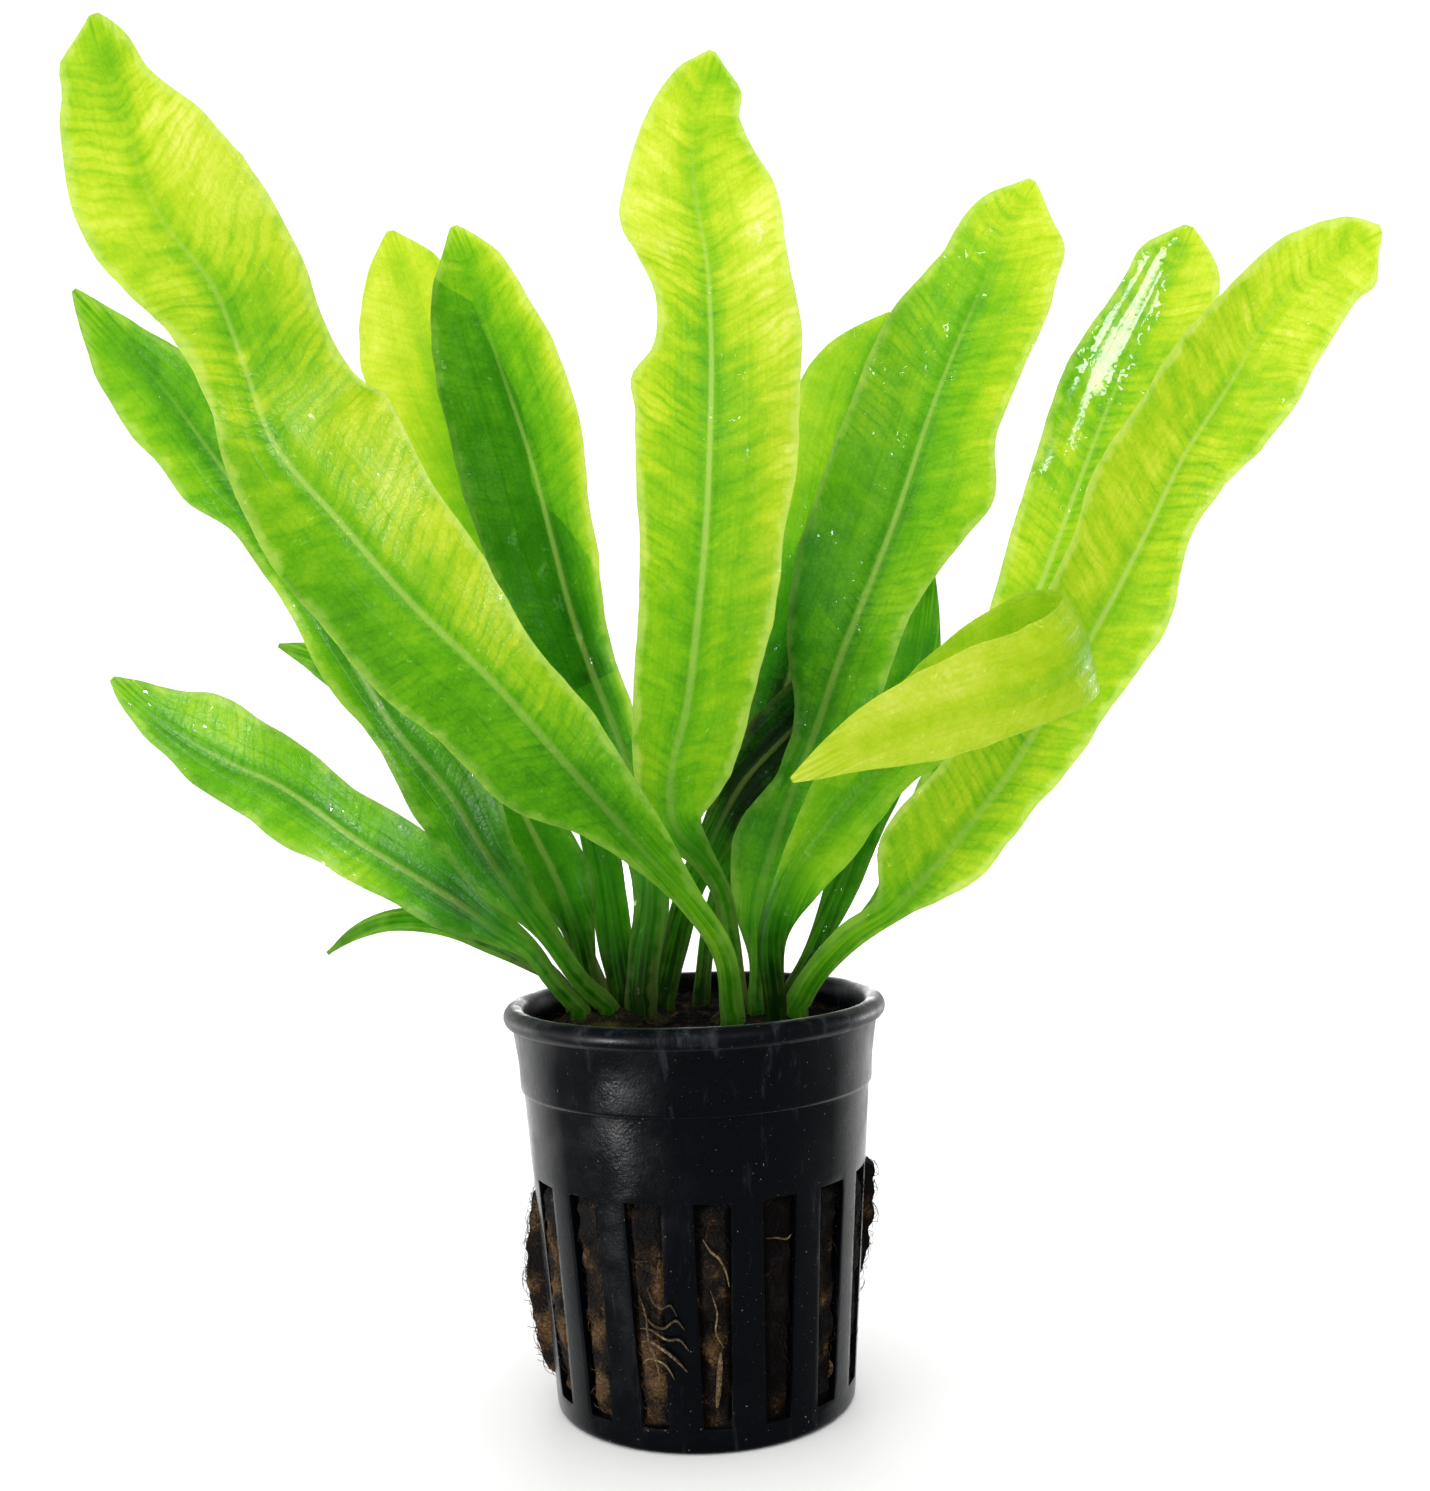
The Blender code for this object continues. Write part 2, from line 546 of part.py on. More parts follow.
def smooth_rows(rows, distances):
    """The rows' values at these distances along the midrib, on a smooth curve through the rows."""
    knots = [0.0]
    for a, b in zip(rows, rows[1:]):
        knots.append(knots[-1] + math.dist(a[:3], b[:3]))
    slopes = [
        [(b[k] - a[k]) / (v - u) for k in range(5)]
        for a, b, u, v in zip(rows, rows[1:], knots, knots[1:])
    ]
    tangents = [slopes[0]]
    for i in range(1, len(rows) - 1):
        before, after = knots[i] - knots[i - 1], knots[i + 1] - knots[i]
        pairs = zip(slopes[i - 1], slopes[i])
        tangents.append([(s * after + t * before) / (before + after) for s, t in pairs])
    tangents.append(slopes[-1])
    # The margins run on into the tip without a step.
    tangents[-2][3:] = [-TIP_POWER * rows[-2][k] / (knots[-1] - knots[-2]) for k in (3, 4)]
    found = []
    for at in distances:
        i = max(k for k in range(len(rows) - 1) if knots[k] <= at or k == 0)
        span = knots[i + 1] - knots[i]
        t = (at - knots[i]) / span
        row = []
        for k in range(5):
            start, end = rows[i][k], rows[i + 1][k]
            leave = tangents[i][k] * span * (t**3 - 2 * t**2 + t)
            arrive = tangents[i + 1][k] * span * (t**3 - t**2)
            row.append(start + (end - start) * (3 * t**2 - 2 * t**3) + leave + arrive)
        if i == len(rows) - 2:
            # The tip is a short, slightly rounded point.
            row[3:] = [rows[i][k] * max(0.0, 1 - t) ** TIP_POWER for k in (3, 4)]
        found.append(row)
    return found


def leaf_frames(places, roll, folded):
    """For each place on the midrib, the directions to the leaf's right and out of its face."""
    frames = []
    last = None
    turn = math.radians(roll)
    for i, place in enumerate(places):
        along = (places[min(i + 1, len(places) - 1)] - places[max(i - 1, 0)]).normalized()
        if folded and last is not None:
            side = last - along * last.dot(along)
        else:
            side = along.cross(Vector((0, -1, 0)))
        side.normalize()
        last = side
        face = side.cross(along)
        turned_side = side * math.cos(turn) + face * math.sin(turn)
        turned_face = face * math.cos(turn) - side * math.sin(turn)
        frames.append((turned_side, turned_face))
    return frames


def leaf_ring(place, side, face, left, right, shape):
    """Eight points around the leaf: the two margins, and the middle and halfway points of each face."""
    lift_left, lift_right, bulge, centre = shape
    halfway_left = place - side * left * 0.5 + face * lift_left * HALFWAY_LIFT
    halfway_right = place + side * right * 0.5 + face * lift_right * HALFWAY_LIFT
    return [
        place + side * right + face * lift_right,
        halfway_right + face * bulge,
        place + face * centre,
        halfway_left + face * bulge,
        place - side * left + face * lift_left,
        halfway_left - face * bulge,
        place - face * centre,
        halfway_right - face * bulge,
    ]


def leaf_skin(bm, rings):
    """Triangles between a leaf's rings. The front and the back are split alike, so that they
    never cross near the thin margins."""
    loops = [[bm.verts.new(point) for point in ring] for ring in rings]
    half = len(rings[0]) // 2
    for lower, upper in zip(loops, loops[1:]):
        for i, _ in enumerate(lower):
            j = (i + 1) % len(lower)
            if i % half < half // 2:
                bm.faces.new((lower[i], lower[j], upper[j]))
                bm.faces.new((lower[i], upper[j], upper[i]))
            else:
                bm.faces.new((lower[j], upper[j], upper[i]))
                bm.faces.new((lower[j], upper[i], lower[i]))
    bm.faces.new(loops[0][::-1])
    bm.faces.new(loops[-1])


def make_leaf(leaf, look, holder):
    """A petiole and its blade as one thin solid, lofted along the midrib."""
    foot_x, foot_y, _, half, _ = leaf.rows[0]
    foot = (foot_x, foot_y, foot_height(foot_x, foot_y, half))
    rows = [(*foot, half, half), *leaf.rows[1:]]
    length = sum(math.dist(a[:3], b[:3]) for a, b in zip(rows, rows[1:]))
    count = round((length - TIP_LENGTHS[0]) / STATION_SPACING)
    distances = [(length - TIP_LENGTHS[0]) * i / count for i in range(count)]
    distances += [length - left for left in TIP_LENGTHS]
    stations = smooth_rows(rows, distances)
    places = [Vector(row[:3]) for row in stations]
    frames = leaf_frames(places, leaf.roll, leaf.name == "leaf_folded")
    rings = []
    for at, place, (side, face), row in zip(distances, places, frames, stations):
        left, right = max(row[3], LEAST_HALF_WIDTH), max(row[4], LEAST_HALF_WIDTH)
        share = at / length
        spread = ((left + right) / 2 - BLADE_STARTS) / (BLADE_FULL - BLADE_STARTS)
        spread = min(1.0, max(0.0, spread))
        wave = math.tau * (leaf.waves * share + leaf.phase)
        ruffle = leaf.ruffle * spread * math.sin(math.pi * share) ** 0.5
        lift_left = spread * leaf.cup * left + ruffle * math.sin(wave)
        lift_right = spread * leaf.cup * right + ruffle * math.sin(wave + MARGIN_LAG)
        centre = (MIDRIB_THICKNESS + (TIP_THICKNESS - MIDRIB_THICKNESS) * share) / 2
        centre += (half * PETIOLE_ROUNDNESS - centre) * (1 - spread) * (1 - share)
        bulge = centre * PETIOLE_SHOULDER * (1 - spread) + BLADE_THICKNESS / 2 * spread
        shape = (lift_left, lift_right, bulge, centre)
        rings.append(leaf_ring(place, side, face, left, right, shape))
    # The foot is level, so that it stands squarely on the rootstock.
    level = (0, 0, half * FOOT_SHOULDER, half * PETIOLE_ROUNDNESS)
    rings[0] = leaf_ring(places[0], Vector((1, 0, 0)), Vector((0, -1, 0)), half, half, level)
    bm = bmesh.new()
    leaf_skin(bm, rings)
    object_from(bm, leaf.name, look, holder, foot)


def main():
    for old in list(bpy.data.objects):
        bpy.data.objects.remove(old)
    plant = bpy.data.objects.new("potted_echinodorus", None)
    bpy.context.scene.collection.objects.link(plant)
    make_pot(plant)
    make_wool(plant)
    make_crowns(plant)
    look = material("fresh leaf", "#6fb81c", 0.42)
    for leaf in LEAVES:
        make_leaf(leaf, look, plant)


main()
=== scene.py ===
"""The looks of the potted ruffled echinodorus: its leaves, wool and pot, the light and the camera.

Z is up, X is to the right and Y runs away from the front. Sizes are written in millimetres, and
each mesh is turned into metres by MM. The leaves' rows and the pot's sizes are the CAD model's own.
"""

import math
from collections import namedtuple
from functools import partial

import bmesh
import bpy
from mathutils import Matrix, Vector, noise


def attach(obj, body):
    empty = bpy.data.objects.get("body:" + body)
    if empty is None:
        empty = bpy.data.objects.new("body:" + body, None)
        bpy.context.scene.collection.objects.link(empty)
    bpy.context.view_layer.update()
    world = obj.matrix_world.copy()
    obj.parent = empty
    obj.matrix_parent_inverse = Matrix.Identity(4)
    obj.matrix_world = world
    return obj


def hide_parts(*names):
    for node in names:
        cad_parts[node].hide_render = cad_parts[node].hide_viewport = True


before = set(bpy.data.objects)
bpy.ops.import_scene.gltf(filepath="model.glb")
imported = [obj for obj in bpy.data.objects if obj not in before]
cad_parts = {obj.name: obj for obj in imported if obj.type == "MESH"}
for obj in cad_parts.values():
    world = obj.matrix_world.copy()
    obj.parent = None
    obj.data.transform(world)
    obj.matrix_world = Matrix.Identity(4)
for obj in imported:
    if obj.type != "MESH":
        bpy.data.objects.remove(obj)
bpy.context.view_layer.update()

MM = 0.001

# Settings that many nodes share.
MULTIPLY = {"operation": "MULTIPLY"}
MULTIPLY_ADD = {"operation": "MULTIPLY_ADD"}
EASED = {"interpolation_type": "SMOOTHSTEP"}
BLEND = {"data_type": "RGBA", "output": 2}

# The pot, as in the CAD model.
POT_HEIGHT = 52.5
RIM_BEAD = 1.4
BAND_RADIUS = 23.7
STEP_HEIGHT = 41.5
STEP_DEPTH = 0.4
SHOULDER_RADIUS = 22.7
BASE_RADIUS = 19.6
BASE_CORNER = 0.8
WALL = 1.1
FLOOR = 1.3
FLOOR_CORNER = 1.0
SLOT_COUNT = 16
SLOT_TURN = 4.0
SLOT_TOP = 31.0
SLOT_FOOT = 3.2
SLOT_TOP_WIDTH = 4.7
SLOT_FOOT_WIDTH = 3.5
DRAIN_COUNT = 8
DRAIN_RADIUS = 1.8
DRAIN_CIRCLE = 11.5

# The rest of the pot's form: its softened edges, and where its mesh has further rows, by radius
# on the floor and by height on the wall.
EDGE_SOFTNESS = 0.22
FLOOR_ROWS = (6.0, 16.0, 16.5)
WALL_ROWS_BELOW_SLOTS = (1.6, 2.4)
WALL_ROWS_ABOVE_SLOTS = (32.0, 34.0, 37.0)
DRILL_SIDES = 32

# The wool plug, as in the CAD model. For each slot where it swells out: how far, and the height
# where it swells most.
WOOL_TOP = 49.0
WOOL_TILT = 0.07
WOOL_RECESS = 0.6
WOOL_CLEAR = 0.35
WOOL_SWELL = {-5: (1.6, 14.0), -4: (2.8, 15.0), -3: (0.6, 20.0), 3: (0.4, 24.0), 4: (2.0, 26.0)}
SWELL_REACH = 15.0

# The wool's mesh and looks: how high its wall reaches, its lumps and those of its top with their
# sizes, how pale the top is and how much that wavers, how open it lies there for loose threads,
# and the threads' number to a square metre, length and half thickness.
WOOL_WALL_TOP = 45.4
WOOL_WALL_STEPS = 78
WOOL_COLUMNS = 360
WOOL_TOP_RINGS = 40
WOOL_CORNER = 1.2
LUMPS = 0.55
LUMP_LENGTH = 2.2
LUMP_RING = 3.2
TOP_LUMPS = 0.8
TOP_LUMP_LENGTH = 2.8
TOP_EDGE_DROP = 1.2
TOP_TONE = -0.16
TOP_TONE_WAVER = 0.35
TOP_TONE_LENGTH = 1.8
TOP_OPEN = 0.9
THREADS = (1.2e6, 3.0, 0.04)

# Where the wool comes out into a slot, and where its threads lie open. Each eases between two
# shares of the slot's half width, two heights above its foot and two depths below its top.
COMES_OUT = ((0.62, 0.93), (0.2, 1.6), (1.8, 0.3))
LIES_OPEN = ((0.35, 0.8), (0.6, 2.0), (2.0, 0.6))

# The pale roots that show on the wool: half the thickness, then places by degrees from the
# front, height, and how far outside the pot's wall.
ROOT_STEPS = 8
ROOTS = (
    (0.34, ((5.6, 12.6, -0.4), (5.0, 10.6, -0.25), (4.4, 8.0, -0.25), (3.7, 5.8, -0.4))),
    (0.15, ((0.6, 26.6, -0.5), (3, 25.2, -0.2), (5.8, 24.2, -0.1), (7.8, 22.6, -0.2), (9, 20.6, -0.5))),
    (0.12, ((2.5, 20.4, -0.4), (4.6, 17.6, -0.2), (4.0, 15.2, -0.2), (6.6, 13.2, -0.4))),
    (0.12, ((21.6, 26.0, -0.5), (25.0, 26.0, -0.2), (29.0, 25.6, -0.2), (31.4, 26.0, -0.4))),
    (0.17, ((-22.2, 13.6, -0.5), (-19, 14.2, 0.1), (-14, 13.4, 0.45), (-9.5, 12.2, 0.55), (-6, 10.6, 0.3))),
    (0.13, ((-22.4, 15.4, -0.5), (-18, 15.6, 0.1), (-12.5, 14.6, 0.42), (-8, 14.6, 0.5), (-5.2, 13.2, 0.25))),
    (0.15, ((-21, 17.5, -0.4), (-17, 16.2, 0.1), (-13, 16, 0.42), (-9, 17, 0.5), (-6.4, 15.8, 0.27))),
    (0.12, ((-19, 20.8, -0.4), (-16.5, 19, 0.1), (-13.5, 18.4, 0.38), (-10.5, 18.8, 0.4),
            (-8.6, 17.4, 0.25))),
    (0.12, ((-22.4, 11.0, -0.5), (-18.5, 12.0, 0.1), (-13.2, 11.4, 0.38), (-10.4, 9.6, 0.25))),
    (0.12, ((-22, 19.6, -0.4), (-19.5, 17.4, 0), (-19, 14.6, 0.1), (-17, 12.2, 0.1), (-16, 9.8, -0.3))),
    (0.28, ((-40.5, 8.4, -0.1), (-38.0, 9.0, 0.4), (-35.2, 8.3, 0.45))),
    (0.26, ((50.5, 8.4, -0.1), (51.2, 7.4, 0.0), (50.0, 6.4, -0.1))),
)

# The two rootstocks, each with its centre x, centre y and radius. Knobs stand on them, their
# edge sinks into the wool, and their underside lies in it.
CROWN_RISE = 1.2
CROWN_EDGE = 0.3
CROWNS = {"rootstock_left": (-10.6, 5.0, 8.0), "rootstock_right": (8.8, 1.2, 7.2)}
CROWN_SIDES = 72
CROWN_RINGS = 22
KNOBS = 0.5
KNOB_LENGTH = 2.2
EDGE_SINK = 1.0
CROWN_DEPTH = 1.5

# The leaves. A leaf is a petiole up to the half width BLADE_STARTS and all blade from BLADE_FULL.
# Beyond the share STEM_ENDS of its length it thins to a blade even where it is narrow.
GAP = 0.3
BLADE_THICKNESS = 0.36
MARGIN_THICKNESS = 0.2
MIDRIB_THICKNESS = 1.3
TIP_THICKNESS = 0.45
MIDRIB_WIDTH = 0.8
BLADE_STARTS = 1.8
BLADE_FULL = 4.3
PETIOLE_ROUNDNESS = 0.8
LIFT_POWER = 1.74
MARGIN_LAG = 2.0
LEAST_HALF_WIDTH = 0.3
STATION_SPACING = 1.2
TIP_LENGTHS = (3.2, 2.4, 1.7, 1.1, 0.7, 0.4)
TIP_POWER = 0.8
POINTS_ACROSS = 28
FOOT_SINK = 3.0
FOOT_FLARE = 0.18
FOOT_FLARE_LENGTH = 5.0
STEM_ENDS = 0.45

# The fine forms that the CAD model leaves out: small frills along the margins, an uneven
# outline and shallow pleats between the main veins. They die out near the tip.
FRILL = 0.5
FRILL_LENGTH = 5.5
OUTLINE_WAVER = 0.2
OUTLINE_LENGTH = 3.2
PLEAT = 0.14
PLEATS_A_SIDE = 3.0
NEAR_TIP = 8.0

# How much painted shade deepens the green at a petiole's foot, down among the crowded petioles, and how far
# up it stays so.
FOOT_SHADE = 0.16
FOOT_SHADE_LENGTH = 14.0

# What each point of a leaf carries for its material.
MARKS = "across across_mm along_mm share blade paleness edge_mm wet behind_mm rib".split()

# One leaf. "cup" is how far the margins rise toward the leaf's face, as a share of the half
# width, "ruffle" how far they wave, "waves" how often, "phase" in turns, and "roll" turns the
# blade about its midrib. "level" is how pale the leaf is over most of its blade, from 0, deep
# green, to 1, pale yellow green, "petiole" how pale its petiole is and "rib" its midrib. The
# level and the petiole's paleness are partly the leaf's own tone and partly painted light and
# shade: deeper for leaves in shade behind the others, paler for those in the light.
# Each of "rows" is a place on the midrib (x, y, z), then the half widths of the leaf to the left
# and right of it, from the foot of the petiole to the tip.
# The patches differ from the rest of the leaf: share of the length, place across from -1 at the
# left margin to 1 at the right, reach along and across, and how much paler, or deeper where it
# is below 0. They are partly the leaf's own paler or deeper tissue and partly painted light and
# shade, such as painted shade near the foot and where other leaves overlap. "wet" places are
# told in the same way, without the last number. The line of painted shade is where a pale leaf
# behind sticks to the back and the tissue in front is painted deeper: share and place across.
FIELDS = "name cup ruffle waves phase roll level petiole rib rows patches wet seam"
Leaf = namedtuple("Leaf", FIELDS, defaults=((), (), ()))

LEAVES = (
    Leaf("leaf_front_left", 0.22, 0.9, 7, 0.1, 12, 0.67, 0.42, 0.65, rows=(
        (5, -3.5, 0, 1.4, 1.4), (4, -6, 59, 1.5, 1.5), (0, -9, 66, 1.7, 1.7), (-6, -13, 73.5, 2.8, 4),
        (-15, -19, 85, 8.5, 6.6), (-22.5, -24, 94.5, 9.6, 7.2), (-30, -28, 102.5, 9.6, 10.2),
        (-37.5, -32, 112, 9, 12.2), (-44, -36, 121, 6.2, 14.2), (-46.5, -38, 129.5, 5.2, 11.2),
        (-49, -39, 137, 7, 10.9), (-54.5, -40, 145, 8.2, 12), (-57, -40, 152, 7.4, 9.4),
        (-59, -40, 159, 6, 4.8), (-60, -40, 163.5, 4.2, 3.2), (-60.8, -40, 167, 0, 0),
    ), patches=(
        (0.86, 0.7, 0.1, 0.6, 0.3), (0.88, -0.6, 0.08, 0.6, 0.08), (0.78, -0.5, 0.12, 0.6, 0.12),
        (0.73, 0.3, 0.06, 0.7, -0.12), (0.62, 0.8, 0.1, 0.5, 0.14), (0.46, 0.75, 0.1, 0.5, 0.1),
        (0.45, -0.7, 0.16, 0.6, -0.2), (0.24, 0, 0.1, 1.5, -0.22), (0.714, -0.02, 0.006, 0.1, 0.5),
        (0.68, -0.02, 0.006, 0.1, 0.5),
    )),
    Leaf("leaf_far_left", 0.2, 0.8, 6, 0.35, 10, 0.5, 0.28, 0.55, rows=(
        (-11.4, 2, 0, 1.3, 1.3), (-14.2, 1.5, 54, 1.3, 1.3), (-19.5, 0, 62, 1.5, 1.8),
        (-25.5, -2, 71, 4.6, 4), (-31, -4, 81, 5.2, 7), (-37, -6, 89, 3.4, 9.2),
        (-42.5, -8, 99.5, 4.4, 8.6), (-49, -10, 110.5, 3.4, 8.6), (-52.5, -11, 116, 3.4, 8.8),
        (-55.5, -12, 121, 6.1, 8.8), (-58.5, -12.5, 125.5, 6, 7.8), (-62.5, -13, 131.5, 6.6, 5.8),
        (-67.5, -14, 137.5, 5, 3.3), (-71, -14.5, 141.6, 2.4, 1.5), (-73.2, -15, 144.4, 0, 0),
    ), patches=(
        (0.93, 0, 0.08, 2, 0.1), (0.62, 0.2, 0.2, 1, -0.04), (0.8, -0.9, 0.08, 0.4, 0.16),
        (0.55, -0.9, 0.1, 0.3, 0.2), (0.2, 0, 0.15, 2, -0.16),
    )),
    Leaf("leaf_low_left", 0.16, 0.6, 6, 0.6, 8, 0.5, 0.3, 0.55, rows=(
        (-15.2, 2, 0, 1.2, 1.2), (-18.6, 2, 54.8, 1.2, 1.2), (-21.5, 2, 59, 1.4, 1.4),
        (-26.7, 2, 62.8, 2.8, 2.8), (-32.7, 2, 67, 4.6, 4.6), (-38.8, 2, 71, 4.6, 6.4),
        (-44.4, 2, 74.8, 5.2, 6), (-50, 2, 79.3, 6.2, 5.8), (-54, 1, 82.3, 6, 6.3),
        (-60, 0, 85.5, 5.1, 7.6), (-65.8, 0, 89, 3.8, 7.2), (-70.7, -1, 93, 2.4, 3.8),
        (-73.2, -1.5, 95.4, 1.4, 2), (-74.8, -2, 97.2, 0, 0),
    ), patches=(
        (0.85, 0.6, 0.15, 0.6, 0.12), (0.5, -0.8, 0.15, 0.4, 0.14), (0.24, 0, 0.15, 2, -0.22),
    )),
    Leaf("leaf_drooping", 0.2, 0.3, 3, 0, 0, 0.32, 0.16, 0.75, rows=(
        (-16.3, 5.8, 0, 1, 1), (-18.5, 7, 54.3, 1, 1), (-22.5, 8, 57.5, 1.8, 1.3), (-27.7, 9, 60, 2, 2),
        (-32.6, 9, 62, 1.8, 2), (-37.2, 8, 63.3, 1.9, 1.6), (-41.7, 7, 63.2, 1.5, 1.3),
        (-45.7, 6, 61.8, 1, 0.9), (-49.6, 5, 59, 0, 0),
    )),
    Leaf("leaf_small_left", 0.18, 0.4, 4, 0.2, -6, 0.4, 0.16, 0.75, rows=(
        (-12.4, 9, 0, 1, 1), (-14.3, 10, 56.5, 1, 1), (-20, 10, 66.4, 2.2, 2.2), (-27.3, 9, 75, 2.9, 3),
        (-35, 8, 83.5, 2.9, 3.3), (-42.8, 7, 93.3, 2, 2.8), (-49.2, 6, 98.8, 2, 2.4),
        (-55, 6, 101.2, 0, 0),
    )),
    Leaf("leaf_ruffled_inner", 0.15, 0.9, 5, 0.45, -8, 0.36, 0.16, 0.4, rows=(
        (-13.4, 5.6, 0, 1.3, 1.3), (-14.4, 5.2, 55, 1.4, 1.5), (-15.6, 4.5, 61, 1.8, 2.6),
        (-17.4, 3.4, 67, 3.3, 4.7), (-20.4, 2.4, 74, 4.1, 4.5), (-24, 1.4, 82, 4.7, 4.7),
        (-28, 0, 90, 3.6, 4.2), (-32.7, -2, 98.5, 0, 0),
    )),
    Leaf("leaf_back_left", 0.2, 0.7, 6, 0.75, -12, 0.64, 0.16, 0.2, rows=(
        (-9.4, 5.4, 0, 1.5, 1.5), (-10.4, 7.6, 58, 2.4, 2.3), (-11.6, 9.4, 67.6, 2.6, 2.5),
        (-13.5, 12, 78.5, 2.6, 3), (-14.9, 14, 88.3, 3.8, 4), (-17.5, 16, 99.8, 5.6, 5.6),
        (-20.9, 18, 109.1, 7.4, 6.6), (-24.7, 21, 118.6, 8.6, 6.2), (-29.6, 24, 128.8, 9.4, 8),
        (-33.3, 26, 136.3, 9.8, 9.4), (-36.5, 28, 145, 10.1, 9.2), (-38.8, 29, 153.4, 7.6, 7.4),
        (-40.6, 30, 159.6, 4.3, 4.8), (-42.2, 31, 164.6, 0, 0),
    ), patches=(
        (0.92, 0, 0.14, 1.5, 0.22), (0.62, 0, 0.14, 1.5, -0.1), (0.75, -0.9, 0.2, 0.4, 0.16),
        (0.2, 0, 0.2, 2, -0.2),
    )),
    Leaf("leaf_inner_left", 0.2, 0.7, 6, 0.15, 14, 0.54, 0.16, 0.55, rows=(
        (-7.2, 2.5, 0, 1.9, 1.9), (-6.6, 3, 57, 2.2, 2.2), (-5.2, 4, 65, 2.6, 2.4),
        (-5.5, 5, 74.5, 4, 2.2), (-8.7, 7, 85.8, 5.4, 3.4), (-12.5, 9, 96.2, 6.4, 3.8),
        (-15.1, 10, 104.5, 7.8, 5.2), (-17.5, 11, 114.7, 9.6, 6.4), (-20.1, 12, 126, 10.2, 8.2),
        (-24.2, 13, 139.6, 9.2, 8.8), (-26.1, 14, 145.8, 7.8, 7.3), (-28.4, 15, 154.6, 5, 4.5),
        (-30.5, 15, 160.1, 0, 0),
    ), patches=(
        (0.97, 0.3, 0.1, 1.4, 0.16), (0.75, 1, 0.3, 0.3, 0.3), (0.45, 1, 0.2, 0.3, 0.16),
        (0.35, -0.3, 0.2, 0.8, -0.12),
    ), wet=(
        (0.6, -0.55, 0.01, 0.1), (0.55, -0.3, 0.012, 0.1), (0.5, -0.15, 0.012, 0.1), (0.46, 0, 0.012, 0.1),
        (0.42, 0.15, 0.01, 0.08),
    # Painted shade: the line beyond which a pale leaf close behind keeps the light from coming through.
    ), seam=(
        (0.4, 2), (0.573, 0.53), (0.606, 0.26), (0.621, 0.04), (0.65, -0.1), (0.68, -0.06), (0.72, 0.07),
        (0.762, 0.1), (0.808, 0.04), (0.84, -0.05), (0.9, -0.15), (0.97, -1.4),
    )),
    Leaf("leaf_tall_middle", 0.22, 0.8, 7, 0, -10, 0.66, 0.24, 0.75, rows=(
        (5.8, 1.6, 0, 1.3, 1.3), (5, 0.4, 60.5, 1.3, 1.3), (4.1, -1, 66.2, 1.3, 1.3),
        (1.5, -2, 71, 1.6, 1.9), (-1.6, -3, 74.8, 2.6, 4), (-2.1, -5, 81.4, 4.6, 6.8),
        (0.3, -7, 90.7, 7.2, 7.9), (1.9, -9, 100.7, 7.6, 9.1), (3.4, -10, 112.6, 8.8, 10),
        (4.4, -10, 125.4, 9.8, 11), (4.7, -9.5, 130.6, 10.4, 11.2), (4.9, -9, 135.7, 7.6, 11.2),
        (4.9, -8, 141, 7, 10.8), (4.7, -7, 147.7, 9.4, 10.3), (3.9, -6, 153.9, 10.4, 10.4),
        (3.3, -5, 160.9, 8, 8.2), (3.8, -3, 168.4, 5.1, 6.2), (5.4, -1.5, 173.5, 3.2, 4.4),
        (6.6, 0, 177.4, 0, 0),
    ), patches=(
        (0.93, -0.3, 0.07, 0.9, 0.18), (0.82, -0.7, 0.09, 0.6, 0.3), (0.77, 0.7, 0.12, 0.5, 0.3),
        (0.55, 0.95, 0.16, 0.3, 0.2), (0.62, -0.9, 0.1, 0.3, 0.14), (0.3, 0, 0.14, 2, -0.06),
        (0.14, 0, 0.08, 2, -0.14),
    ), wet=(
        (0.777, -0.55, 0.012, 0.14), (0.783, 0.66, 0.012, 0.08),
    )),
    Leaf("leaf_tall_right", 0.16, 0.9, 6, 0.55, 10, 0.58, 0.34, 0.6, rows=(
        (8.3, -1.8, 0, 1.2, 1.2), (8.8, 0.2, 57, 1.4, 1.6), (9.2, 2, 64.8, 3.8, 3),
        (11.7, 3, 72.6, 5.6, 5), (14.8, 4, 80.6, 2.8, 6.5), (18.2, 5, 88.6, 3.6, 7),
        (21.2, 5, 96.6, 7.6, 7), (25.4, 6, 106, 10.6, 6.8), (29.5, 7, 115.5, 11.2, 10),
        (31.8, 7.5, 121.5, 11, 12), (34.1, 8, 127.8, 10.8, 10), (38.8, 9, 138.9, 10.2, 9.8),
        (44.1, 10, 150, 7, 9.4), (47.4, 11, 157.6, 4.8, 7.2), (50.9, 12, 163.2, 0, 0),
    ), patches=(
        (0.96, 0.2, 0.1, 1.5, 0.28), (0.75, 0.9, 0.2, 0.35, 0.2), (0.4, -0.2, 0.18, 1.2, -0.1),
        # The first patch below is painted shade along the left margin, next to the tall middle leaf.
        (0.38, -1, 0.14, 0.35, -0.3), (0.18, 0, 0.1, 2, -0.12),
    )),
    Leaf("leaf_behind_right", 0.15, 0.6, 5, 0.3, 12, 0.6, 0.16, 0.25, rows=(
        (0.8, 9, 0, 1.1, 1.1), (2.4, 12, 60, 1.2, 1.2), (6.4, 14.5, 71, 2, 2.5), (11, 17, 83.3, 3.4, 5),
        (15, 19, 94.4, 4.7, 7), (18.6, 20.5, 105.8, 6, 8), (21.8, 22, 117.5, 7.2, 8.6),
        (25.3, 23, 130.8, 9.2, 7.6), (29, 24, 141.2, 6.8, 5.4), (32.4, 24.5, 148.4, 0, 0),
    ), patches=(
        # The second patch below is painted shade over the lower blade, which lies in shadow behind the
        # others.
        (0.8, -0.8, 0.2, 0.6, 0.14), (0.34, 0, 0.28, 2, -0.6),
    )),
    Leaf("leaf_dark_middle", 0.12, 0.4, 4, 0.8, 0, 0.06, 0.16, 0.25, rows=(
